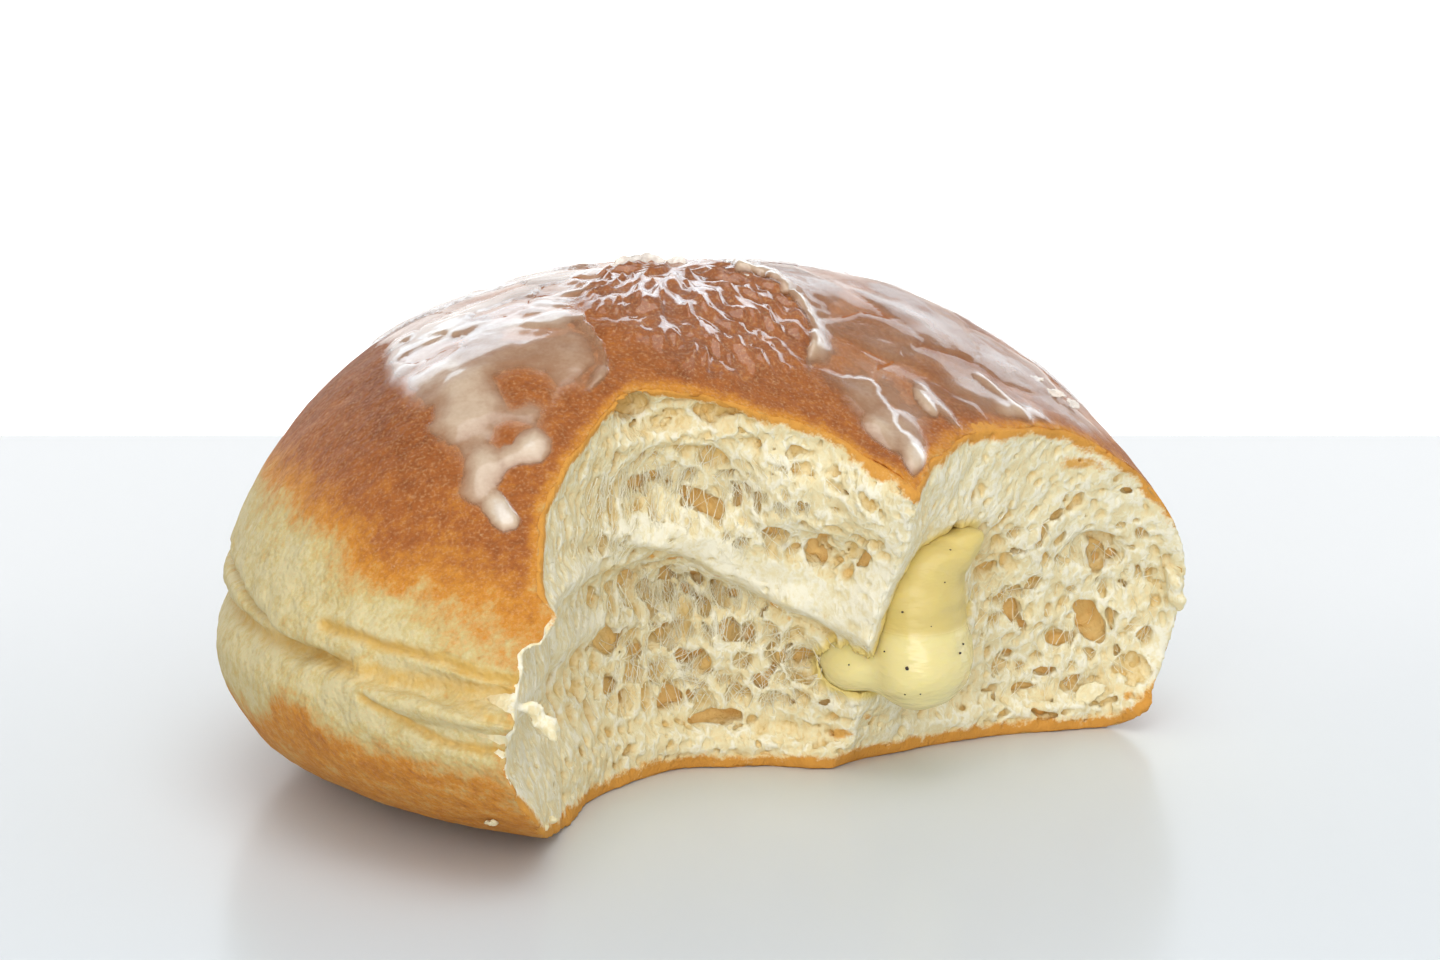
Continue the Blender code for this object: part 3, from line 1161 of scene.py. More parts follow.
def piece_from(name: str, places: Array, faces: Array) -> Object:
    """Makes an object of points and faces.

    Args:
        name: the piece's name.
        places: points, one to a row.
        faces: point numbers, one face to a row; triangles repeat their last number.

    Returns:
        The object, with its faces pointing out.
    """
    mesh = bpy.data.meshes.new(name)
    sizes = np.where(faces[:, 3] == faces[:, 2], 3, 4)
    starts = np.concatenate([[0], np.cumsum(sizes)[:-1]])
    keep = np.ones(faces.shape, dtype=bool)
    keep[:, 3] = sizes == 4
    corners = faces[keep]
    mesh.vertices.add(len(places))
    mesh.vertices.foreach_set("co", places.astype(np.float32).ravel())
    mesh.loops.add(len(corners))
    mesh.loops.foreach_set("vertex_index", corners.astype(np.int32))
    mesh.polygons.add(len(sizes))
    mesh.polygons.foreach_set("loop_start", starts.astype(np.int32))
    mesh.update(calc_edges=True)
    mesh.validate()
    obj = bpy.data.objects.new(name, mesh)
    bpy.context.scene.collection.objects.link(obj)
    face_out(obj)
    return obj


def face_out(obj: Object) -> None:
    """Turns the faces of a closed mesh outwards and shades them smooth.

    Args:
        obj: the mesh's object.
    """
    pick(obj)
    bpy.ops.object.mode_set(mode="EDIT")
    bpy.ops.mesh.select_all(action="SELECT")
    bpy.ops.mesh.normals_make_consistent(inside=False)
    bpy.ops.object.mode_set(mode="OBJECT")
    bpy.ops.object.shade_smooth()


def surface_of(lattice: Lattice, solid: Array, adaptivity: float) -> tuple[Array, Array]:
    """The surface where a field is 0.

    Args:
        lattice: where the field's numbers stand.
        solid: above 0 inside.
        adaptivity: how far flat stretches are simplified, from 0.

    Returns:
        Points and faces.
    """
    grid = openvdb.FloatGrid(1.0)
    grid.copyFromArray(np.ascontiguousarray(np.clip(-solid, -1.0, 1.0)))
    places, triangles, quads = grid.convertToPolygons(isovalue=0.0, adaptivity=adaptivity)
    places = places * lattice.pitch + np.array(lattice.low)
    triangles = np.column_stack([triangles, triangles[:, 2]])
    return places, np.concatenate([triangles, quads]).astype(np.int64)


def line_inside(obj: Object, thickness: float, share: float) -> None:
    """Gives a sheet an inner wall, with far fewer faces than its outside.

    Args:
        obj: the sheet.
        thickness: how far in the wall is.
        share: the share of its faces that the wall keeps.
    """
    outer = len(obj.data.polygons)
    give_wall(obj, thickness, -1.0)
    inner = np.zeros(len(obj.data.polygons), dtype=bool)
    inner[outer : 2 * outer] = True
    select_faces(obj, inner)
    bpy.ops.mesh.decimate(ratio=share)
    bpy.ops.object.mode_set(mode="OBJECT")
    bpy.ops.object.shade_smooth()


def settle(obj: Object, material: Material, node: str) -> None:
    """Puts a finished piece in metres about the part's origin, dresses it and ties it to the part.

    Args:
        obj: the piece, in millimetres from the middle of the whole bun's base.
        material: its finish.
        node: the solid of the part that it stands for.
    """
    move_corners(obj, (corners_of(obj) - ORIGIN) * MM)
    obj.data.materials.clear()
    obj.data.materials.append(material)
    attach(obj, "root")
    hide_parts(node)
    triangles = sum(len(face.vertices) - 2 for face in obj.data.polygons)
    LOG.info("%s: %d triangles", obj.name, triangles)


# ---- crumb


@dataclass(frozen=True)
class PoreZone(Ellipse):
    """A part of the torn faces where the pores are alike."""

    smallest: float
    largest: float
    stretch: float = 1.0
    pore_lean: float = 90.0
    spacing: float = 0.92
    share: float = 1.0


ZONES = (
    PoreZone(3.0, 18.9, 14.0, 2.3, -25.0, 0.18, 0.3, 2.0, -20.0, 1.5, 0.1),  # flap
    PoreZone(13.5, 17.0, 3.6, 4.5, 0.0, 0.2, 0.35, 1.6, 60.0, 1.8, 0.08),  # flap foot
    PoreZone(-5.0, 33.6, 12.0, 2.6, 4.0, 0.25, 0.45, 3.2, 4.0, 1.1, 0.5),  # ledge
    PoreZone(8.0, 29.5, 10.0, 4.6, -24.0, 0.22, 0.42, 3.4, -28.0, 1.1, 0.3),  # layers
    PoreZone(-3.0, 26.5, 12.0, 5.5, -8.0, 0.35, 0.85, 1.9, 88.0, 1.2, 0.35),  # bowl
    PoreZone(8.0, 22.5, 5.5, 3.2, -10.0, 0.4, 0.9, 1.3, 80.0, 1.0, 0.6),  # cluster
    PoreZone(-3.5, 17.0, 10.0, 3.4, -14.0, 0.5, 1.05, 2.2, 88.0, 0.95, 0.8),  # arches
    PoreZone(-1.0, 10.2, 15.0, 4.6, 0.0, 0.35, 1.3, 1.15, 70.0, 1.0, 0.6),  # web
    PoreZone(-1.0, 3.6, 16.0, 3.4, 0.0, 0.22, 0.55, 1.8, 5.0, 1.3, 0.35),  # base
    PoreZone(23.5, 16.5, 2.8, 6.0, 0.0, 0.4, 0.9, 1.3, 70.0, 1.1, 0.6),  # by the custard
    PoreZone(30.0, 24.0, 9.0, 5.0, 10.0, 0.2, 0.45, 1.7, 55.0, 1.3, 0.25),  # right fine
    PoreZone(31.0, 14.0, 11.0, 8.0, 0.0, 0.22, 0.7, 1.5, 62.0, 1.2, 0.32),  # right middle
    PoreZone(30.0, 4.5, 13.0, 3.6, 0.0, 0.22, 0.55, 2.4, 4.0, 1.3, 0.35),  # right base
    PoreZone(0.0, 20.0, 99.0, 99.0, 0.0, 0.2, 0.5, 1.6, 70.0, 1.3, 0.22),  # elsewhere
)


@dataclass(frozen=True)
class Hollow(Ellipse):
    """A hole that the torn faces show, and how deep it goes."""

    depth: float


HOLLOWS = tuple(
    Hollow(*row)
    for row in (
        # in the left bite
        (-8.6, 35.8, 2.1, 1.3, 8.0, 4.6), (-1.0, 34.7, 2.7, 0.62, 4.0, 2.0),
        (5.0, 34.5, 2.4, 0.4, -6.0, 1.4), (-4.6, 35.7, 0.8, 0.5, 0.0, 1.2),
        (-8.0, 28.3, 0.8, 0.9, 80.0, 3.2), (-6.9, 28.6, 0.55, 0.75, 80.0, 2.6),
        (-5.3, 28.3, 0.3, 0.3, 0.0, 1.4), (-2.3, 26.2, 2.7, 0.9, -36.0, 4.4),
        (-1.3, 30.4, 1.5, 1.1, -30.0, 2.0), (-3.2, 31.2, 1.5, 0.7, -10.0, 1.4),
        (0.6, 26.9, 0.4, 1.1, 0.0, 1.4), (2.5, 26.4, 0.4, 1.2, 0.0, 1.4), (6.0, 26.3, 0.5, 0.9, 0.0, 1.6),
        (4.0, 23.6, 1.0, 1.35, -10.0, 2.4), (5.6, 21.9, 0.6, 0.7, 0.0, 1.6),
        (7.6, 22.0, 1.15, 1.9, -12.0, 2.6), (8.1, 21.0, 0.4, 0.8, -10.0, 3.6),
        (9.4, 21.0, 0.35, 0.3, 0.0, 1.8), (11.6, 21.3, 0.7, 0.9, 0.0, 1.4),
        (-11.6, 27.5, 0.6, 1.1, 0.0, 1.6), (-9.9, 26.8, 0.55, 1.4, 5.0, 1.4),
        (-10.8, 24.4, 0.4, 1.1, 0.0, 1.4), (-9.5, 31.0, 1.2, 0.5, 0.0, 1.0),
        (2.2, 31.6, 1.0, 0.4, 10.0, 0.9), (5.4, 31.2, 1.2, 0.4, -15.0, 0.9),
        (5.6, 29.6, 1.0, 0.5, -20.0, 0.8), (9.0, 29.7, 1.2, 0.35, -20.0, 0.8),
        (9.6, 28.3, 1.4, 0.4, -25.0, 0.8), (11.6, 27.0, 0.9, 0.4, -60.0, 0.8),
        (9.0, 26.6, 1.5, 0.5, -35.0, 0.8), (-10.3, 20.7, 0.5, 0.35, 60.0, 1.6),
        (-8.9, 18.7, 1.5, 0.8, 20.0, 1.8), (-5.6, 18.3, 0.9, 0.8, 0.0, 1.6),
        (-2.6, 17.8, 0.35, 0.8, 0.0, 2.4), (-1.2, 17.8, 0.35, 0.7, 0.0, 1.8),
        (0.4, 16.8, 0.6, 0.6, 0.0, 1.8), (-3.8, 16.5, 0.3, 0.7, 0.0, 1.8),
        (-2.1, 14.8, 0.5, 0.35, 0.0, 2.0), (-11.9, 17.6, 0.35, 0.6, -30.0, 2.0),
        (-11.0, 13.9, 1.4, 1.6, 20.0, 1.8), (-10.9, 13.0, 0.65, 1.0, 15.0, 3.4),
        (-8.2, 11.6, 0.8, 1.1, 0.0, 1.4), (-5.7, 13.1, 1.5, 1.2, 0.0, 1.6),
        (-4.1, 10.9, 0.9, 0.85, 0.0, 4.4), (-3.0, 11.2, 0.75, 0.5, 20.0, 4.0),
        (-2.0, 13.0, 0.5, 1.0, 0.0, 1.8), (0.2, 13.4, 1.1, 1.0, 0.0, 2.0), (1.6, 13.0, 0.6, 1.0, 0.0, 2.2),
        (3.3, 12.4, 0.7, 0.9, 0.0, 1.8), (4.9, 11.2, 0.3, 1.5, -35.0, 2.4),
        (3.6, 9.2, 0.3, 1.0, -50.0, 2.2), (6.8, 10.8, 1.6, 1.5, 0.0, 1.8),
        (-10.6, 8.9, 0.7, 0.55, 20.0, 1.8), (-13.4, 10.0, 0.6, 0.4, 40.0, 1.8),
        (-9.0, 8.0, 1.6, 1.0, 10.0, 1.4), (-5.4, 6.9, 1.25, 1.05, 0.0, 2.6),
        (-3.5, 6.8, 0.4, 0.4, 0.0, 1.4), (-1.3, 4.9, 2.1, 0.75, 16.0, 4.2),
        (0.2, 5.2, 0.9, 0.7, 10.0, 4.0), (1.9, 4.8, 0.6, 0.6, 0.0, 1.4), (4.6, 6.5, 1.2, 0.4, 0.0, 1.2),
        (8.6, 6.5, 0.6, 0.45, 0.0, 1.6), (8.8, 4.9, 0.9, 0.35, 30.0, 1.2), (-8.5, 3.0, 1.2, 0.5, 5.0, 1.6),
        (-10.6, 1.9, 0.5, 0.45, 30.0, 1.4),
        # in the right bite
        (32.8, 11.0, 2.7, 1.2, -66.0, 5.5), (33.3, 19.2, 1.7, 1.5, 0.0, 2.4),
        (33.2, 16.6, 0.9, 1.6, 8.0, 2.2), (34.6, 16.9, 0.8, 0.9, 0.0, 1.8),
        (25.4, 12.7, 0.95, 1.3, 0.0, 2.6), (26.3, 11.2, 0.4, 1.0, 20.0, 1.8),
        (29.9, 9.1, 1.7, 1.1, 8.0, 1.8), (25.3, 8.3, 0.65, 0.5, 0.0, 2.0),
        (27.4, 15.3, 0.7, 0.95, 0.0, 1.8), (22.3, 17.0, 0.8, 1.1, 0.0, 2.4),
        (24.6, 17.8, 0.7, 1.2, 0.0, 1.8), (29.8, 23.4, 0.3, 0.35, 0.0, 1.6),
        (29.2, 22.1, 0.5, 0.5, 0.0, 2.2), (31.2, 23.2, 0.8, 0.7, 40.0, 1.8),
        (30.4, 22.4, 0.4, 0.6, 0.0, 1.6), (35.6, 23.6, 0.5, 0.35, 0.0, 2.4),
        (24.8, 22.7, 1.2, 0.6, 20.0, 1.6), (19.6, 22.5, 0.8, 0.45, 10.0, 2.4),
        (21.6, 26.0, 1.4, 0.7, 20.0, 1.2), (28.2, 20.5, 0.4, 0.7, -20.0, 1.6),
        (27.8, 19.5, 0.5, 0.5, 0.0, 1.6), (29.9, 19.6, 0.35, 0.9, -25.0, 1.6),
        (28.7, 17.7, 0.35, 0.8, 30.0, 1.6), (29.9, 17.2, 0.3, 0.8, 25.0, 1.6),
        (36.8, 15.3, 0.25, 0.9, 15.0, 1.4), (38.2, 14.6, 0.25, 0.9, 25.0, 1.2),
        (38.0, 8.8, 0.9, 0.7, 10.0, 1.6), (34.9, 10.9, 0.35, 1.2, 12.0, 1.8),
        (37.4, 6.0, 1.6, 1.2, 5.0, 1.3), (28.9, 6.2, 1.0, 0.5, 5.0, 2.4), (31.3, 4.6, 1.2, 0.8, 20.0, 2.0),
        (33.0, 7.4, 0.5, 0.5, 0.0, 1.6), (24.5, 6.9, 1.4, 0.6, -10.0, 1.4),
        (26.8, 6.7, 0.6, 0.3, 0.0, 1.4), (23.6, 4.6, 1.2, 0.3, 0.0, 1.2), (26.6, 4.2, 1.4, 0.25, 4.0, 1.4),
        (28.8, 2.2, 1.6, 0.5, -12.0, 3.0), (35.2, 2.6, 1.4, 0.25, 12.0, 1.4),
        (24.8, 2.3, 0.6, 0.3, 0.0, 1.6),
    )
)


@dataclass
class Crumb:
    """The airy inside where the bites tore it open: solid dough less thousands of pores."""

    crust: "Crust"
    low: Place = (-20.5, -43.5, -0.6)
    high: Place = (45.0, 25.0, 40.0)
    pitch: float = 0.25
    wide_step: float = 1.0
    fine_step: float = 0.5
    creased_heights: Pair = (10.0, 23.0)
    skin_thickness: float = 0.03
    reach: float = 7.4
    pore_reach: float = 0.35
    tries: int = 36000
    smallest_pore: float = 0.13
    small_share: float = 1.8
    turn_spread: float = 60.0
    lean_spread: float = 76.0
    cell: float = 2.5
    rim_width: float = 0.2
    hollow_depth: float = 0.62
    joint: float = 0.12
    joint_level: float = 17.6
    lump_reach: float = 3.0
    faces_left: float = 0.08
    lumps: tuple[tuple[float, ...], ...] = (
        (-15.6, -38.3, 15.5, 1.1, 0.5, 0.5, -15.0),
        (-14.4, -37.9, 14.5, 1.2, 0.5, 0.6, -35.0),
        (40.3, 10.4, 14.4, 0.9, 1.2, 1.6, 15.0),
        (40.9, 10.2, 12.9, 0.8, 1.0, 0.9, 40.0),
    )
    unevenness: tuple[tuple[Place, float, int], ...] = (
        ((4.0, 4.0, 4.0), 0.45, 11),
        ((1.6, 1.6, 1.6), 0.18, 12),
        ((0.55, 1.2, 2.4), 0.1, 13),
        ((0.55, 0.55, 0.55), 0.07, 14),
    )
    stains: tuple[tuple[float, ...], ...] = (
        (-6.7, 20.8, 0.5, 0.4, 0.0), (-4.8, 20.3, 1.5, 0.35, -10.0), (-1.2, 18.9, 0.9, 0.3, -5.0),
        (3.9, 15.9, 1.0, 0.3, -50.0), (5.3, 14.6, 0.7, 0.3, -60.0), (10.0, 3.4, 1.9, 0.9, 12.0),
        (12.2, 4.8, 0.7, 0.8, 20.0), (30.9, 27.0, 3.4, 1.1, -8.0), (33.0, 26.2, 0.6, 0.8, 0.0),
        (-11.8, 17.5, 0.3, 0.4, 0.0), (36.6, 3.4, 0.8, 0.5, 30.0), (39.0, 3.9, 0.5, 0.5, 0.0),
    )

    def __post_init__(self) -> None:
        """Works out where the skin, the bites and the custard are."""
        lattice = Lattice(self.low, self.high, self.pitch)
        wide, fine = lattice.coarser(self.wide_step), lattice.coarser(self.fine_step)
        wide_cells, fine_cells = (self.wide_step,) * 3, (self.fine_step,) * 3
        self.lattice = lattice
        self.skin = lattice.spread(BUN.depth(wide), wide_cells)
        x, _, z = lattice.grids()
        low, high = self.creased_heights
        near = np.argwhere((np.abs(self.skin) < 1.8) & (z > low) & (z < high) & (x < 0.0))
        places = near * self.pitch + np.array(self.low)
        self.skin[tuple(near.T)] -= self.crust.creased(places)[0].astype(np.float32)
        left, right = LEFT_BITE.inside(fine), RIGHT_BITE.inside(fine)
        self.torn = lattice.spread(np.maximum(left, right), fine_cells)
        self.plain = self.torn.copy()
        self.side = lattice.spread(left - right, fine_cells)
        self.custard = lattice.spread(custard_outside(*fine.grids()), fine_cells)
        LOG.info("crumb lattice %s", lattice.shape)

    def roughen(self) -> None:
        """Makes the torn faces uneven and a little stringy."""
        for cells, height, seed in self.unevenness:
            self.torn += height * self.lattice.cloud(cells, seed)

    def solid(self) -> Array:
        """The layer of plain dough behind the torn faces, above 0 inside.

        Returns:
            How deep inside the dough each place of the lattice is.
        """
        away = np.clip((self.air - 0.3) / 1.2, 0.0, 1.0)
        field = np.minimum(self.skin - self.skin_thickness - 0.45 * away, self.air)
        np.minimum(field, self.plain + self.reach, out=field)
        np.minimum(field, self.custard - 0.02, out=field)
        return field

    def near(self, centre: Place, reach: float, warping: float) -> tuple[tuple[slice, ...], list[Array]]:
        """The part of the lattice round a place.

        Args:
            centre: the place.
            reach: how far the part reaches from it along each axis.
            warping: how strongly the coordinates in it are made uneven.

        Returns:
            The part, and x, y and z in it.
        """
        lattice, box, grids = self.lattice, (), []
        for c, low, count in zip(centre, lattice.low, lattice.shape):
            start, end = int((c - reach - low) / lattice.pitch), int((c + reach - low) / lattice.pitch) + 2
            box += (slice(max(start, 0), max(min(end, count), 0)),)
        for number, part in enumerate(box):
            line = lattice.low[number] + lattice.pitch * np.arange(part.start, part.stop, dtype=np.float32)
            shape = [-1 if k == number else 1 for k in range(3)]
            grids.append(line.reshape(shape) + warping * self.warp[number][box])
        return box, grids

    def carve(self, field: Array, centre: Place, radii: Place, axes: Array) -> None:
        """Takes one pore out of the field.

        Args:
            field: how deep inside the dough each place is, which changes.
            centre: the pore's middle.
            radii: its half lengths along its own axes.
            axes: those axes, one to a row.
        """
        box, grids = self.near(centre, max(radii) * 1.15 + 0.9, 1.0)
        if all(part.stop > part.start for part in box):
            pore = egg_distance(tuple(grids), centre, radii, axes)
            field[box] = melt(field[box], pore, self.rim_width).astype(np.float32)

    def zone_numbers(self, places: Array) -> Array:
        """Which zone each place lies in.

        Args:
            places: points, one to a row.

        Returns:
            The zones' places in ZONES.
        """
        found = np.full(len(places), len(ZONES) - 1)
        for number in range(len(ZONES) - 1, -1, -1):
            found[ZONES[number].away(places[:, 0], places[:, 2]) < 1.0] = number
        return found

    def scatter(self, field: Array) -> None:
        """Fills the layer with pores that hardly overlap, the largest first.

        Args:
            field: how deep inside the dough each place is, which changes.
        """
        rng = np.random.default_rng(5)
        lattice = self.lattice
        room = (self.air > -0.3) & (self.air < self.pore_reach) & (self.plain > 1.4 - self.reach)
        room &= (self.skin > 1.0) & (self.custard > 0.5) & (self.torn < 0.3)
        spots = np.argwhere(room)
        spots = spots[rng.integers(0, len(spots), self.tries)]
        places = spots * lattice.pitch + np.array(lattice.low) + rng.uniform(-0.12, 0.12, spots.shape)
        numbers = self.zone_numbers(places)
        draws = rng.uniform(0.0, 1.0, (len(places), 4))
        sizes = np.empty(len(places))
        for number, zone in enumerate(ZONES):
            mine = numbers == number
            span = zone.largest - zone.smallest
            sizes[mine] = zone.smallest + span * draws[mine, 0] ** self.small_share
            sizes[mine & (draws[:, 3] > zone.share)] = 0.0
        sizes = np.minimum(sizes, self.skin[tuple(spots.T)] - 0.75)
        sizes = np.minimum(sizes, self.custard[tuple(spots.T)] - 0.1)
        cells: dict[tuple[int, ...], list[tuple[float, ...]]] = {}
        kept = 0
        for index in np.argsort(-sizes):
            size = float(sizes[index])
            if size < self.smallest_pore:
                break
            x, y, z = (float(v) for v in places[index])
            zone = ZONES[numbers[index]]
            cell = tuple(int(v // self.cell) for v in (x, y, z))
            near = [
                other
                for i, j, k in np.ndindex(3, 3, 3)
                for other in cells.get((cell[0] + i - 1, cell[1] + j - 1, cell[2] + k - 1), ())
            ]
            if any(
                (x - ox) ** 2 + (y - oy) ** 2 + (z - oz) ** 2 < (zone.spacing * (size + half)) ** 2
                for ox, oy, oz, half in near
            ):
                continue
            cells.setdefault(cell, []).append((x, y, z, size))
            lean = zone.pore_lean + self.lean_spread * (float(draws[index, 1]) - 0.5)
            pore = Blob((x, y, z), (size,) * 3, self.turn_spread * (float(draws[index, 2]) - 0.5), lean)
            long = size * zone.stretch**0.67
            short = size * zone.stretch**-0.33
            self.carve(field, (x, y, z), (long, short * 0.8, short), pore.axes())
            kept += 1
        LOG.info("%d pores", kept)

    def face_at(self, x: float, z: float) -> float:
        """How far back, along y, a torn face lies at x, z."""
        row, column = int((x - self.low[0]) / self.pitch), int((z - self.low[2]) / self.pitch)
        return self.low[1] + self.pitch * int(np.argmax(self.torn[row, :, column] < 0.0))

    def hollow_out(self, field: Array) -> None:
        """Opens the hollows that have a place of their own.

        Args:
            field: how deep behind the torn faces each place is, which changes.
        """
        for hollow in HOLLOWS:
            y = self.face_at(hollow.x, hollow.z)
            depth = hollow.depth * self.hollow_depth
            shape = Blob((0.0, 0.0, 0.0), (1.0, 1.0, 1.0), 0.0, hollow.lean)
            centre = (hollow.x, y + depth * 0.25, hollow.z - 0.05 * depth)
            self.carve(field, centre, (hollow.half_length, depth * 0.8, hollow.half_height), shape.axes())

    def add_lumps(self, field: Array) -> None:
        """Adds the torn ends that stand out of the faces, above the plain outline.

        Args:
            field: how deep inside the dough each place is, which changes.
        """
        for x, y, z, wide, deep, tall, lean in self.lumps:
            box, grids = self.near((x, y, z), self.lump_reach, 1.4)
            blob = Blob((x, y, z), (wide, deep, tall), 0.0, lean)
            field[box] = np.maximum(field[box], -blob.outside(*grids))

    def crowded(self, field: Array, width: float) -> Array:
        """The share of the space around each place that is solid.

        Args:
            field: how deep inside the dough each place is.
            width: half the width of the space.

        Returns:
            One number for each place.
        """
        out = np.clip(field / 0.3 + 0.5, 0.0, 1.0).astype(np.float32)
        half = int(round(width / self.lattice.pitch))
        for number in range(3):
            total = np.cumsum(out, axis=number, dtype=np.float64)
            count = out.shape[number]
            top = np.minimum(np.arange(count) + half, count - 1)
            bottom = np.maximum(np.arange(count) - half - 1, 0)
            out = (np.take(total, top, number) - np.take(total, bottom, number)).astype(np.float32)
            out /= 2 * half + 1
        return out

    def build(self, material: Material) -> None:
        """Builds the crumb in three pieces, which overlap a little where they meet.

        Args:
            material: the crumb's finish.
        """
        lattice = self.lattice
        self.roughen()
        self.warp = [
            0.5 * lattice.cloud((1.7,) * 3, 21 + k) + 0.22 * lattice.cloud((0.7,) * 3, 31 + k)
            for k in range(3)
        ]
        self.air = -self.torn
        self.hollow_out(self.air)
        field = self.solid()
        self.scatter(field)
        self.add_lumps(field)
        self.field = field
        close, wide = self.crowded(field, 0.7), self.crowded(field, 1.7)
        x, _, z = lattice.grids()
        above = LEFT_BITE.level(x[:, 0, :], z[0])[:, None, :] - self.joint_level
        upper, lower = np.minimum(self.side, above), np.minimum(self.side, -above)
        for name, part in (("crumb_upper", upper), ("crumb_lower", lower), ("crumb_right", -self.side)):
            slab = np.minimum(field, part + self.joint)
            slab[[0, -1]] = -1.0
            slab[:, [0, -1]] = -1.0
            slab[:, :, [0, -1]] = -1.0
            places, faces = surface_of(lattice, slab, 0.12)
            obj = piece_from(name, places, faces)
            self.thin_back(obj)
            places = corners_of(obj)
            # painted shade: hollow rises where the crumb round a place is crowded and where it lies deep
            # behind the torn face, as shade falls there
            crowd = 0.55 * lattice.read(close, places) + 0.45 * lattice.read(wide, places)
            depth = np.clip(-lattice.read(self.torn, places), 0.0, 4.0)
            airy = self.airiness(places)
            hollow = (crowd - 0.4) * 1.7 + 0.27 * depth - 0.2 * (1.0 - airy)
            carry(obj, "hollow", np.clip(hollow, 0.0, 1.0))
            skin = lattice.read(self.skin, places) + 4.0 * self.crust.paleness(places)
            skin -= 0.55 * smooth_step((5.0 - places[:, 2]) / 3.0)
            carry(obj, "skin", np.clip(skin, 0.0, 4.0))
            carry(obj, "airy", airy)
            carry(obj, "stain", np.clip(1.0 - lattice.read(self.custard, places) / 1.6, 0.0, 1.0))
            carry(obj, "rust", self.rust(places))
            settle(obj, material, "dough")

    def airiness(self, places: Array) -> Array:
        """How foamy the crumb is at each place, from the zone it lies in.

        Args:
            places: points, one to a row.

        Returns:
            Numbers up to 1.
        """
        moved = places + 0.9 * np.stack([Cloud(seed).at(places, 1.4, 2) for seed in (15, 16, 17)], axis=1)
        shares = np.array([zone.share for zone in ZONES])
        return np.clip(2.4 * shares[self.zone_numbers(moved)], 0.15, 1.0)

    def thin_back(self, obj: Object) -> None:
        """Leaves fewer faces where nothing is seen: at the back of the layer and under the skin.

        Args:
            obj: a piece of crumb.
        """
        middles = read_rows(obj.data.polygons, "center")
        behind = -self.lattice.read(self.plain, middles)
        hidden = (behind > self.reach - 0.6) | (
            (self.lattice.read(self.skin, middles) < self.skin_thickness + 0.7) & (behind > 1.2)
        )
        select_faces(obj, hidden)
        bpy.ops.mesh.decimate(ratio=self.faces_left)
        bpy.ops.object.mode_set(mode="OBJECT")

    def torn_at(self, places: Array) -> Array:
        """About how far inside a bite each place is, also beyond the crumb's own box.

        Args:
            places: points, one to a row.

        Returns:
            One number for each place.
        """
        low, high = np.array(self.low), np.array(self.high)
        inside = np.all((places > low) & (places < high), axis=1)
        values = np.full(len(places), -6.0)
        values[inside] = self.lattice.read(self.torn, places[inside])
        x, y = places[:, 0], places[:, 1]
        left, right = LEFT_BITE.sides[3]
        values[(y < low[1]) & (x > left) & (x < right)] = 1.0
        values[(x > high[0]) & (y < 12.0)] = 1.0
        values[~inside & (y < -20.0) & (x > 12.0)] = 1.0
        return values

    def rust(self, places: Array) -> Array:
        """How strongly a place is coloured by bits of crust caught in the crumb.

        Args:
            places: points, one to a row.

        Returns:
            Numbers from 0 to 1.
        """
        total = np.zeros(len(places))
        for stain in self.stains:
            dent = Dent(*stain, depth=1.0, edge=0.8)
            total = np.maximum(total, dent.at(places[:, 0], places[:, 2]))
        return total


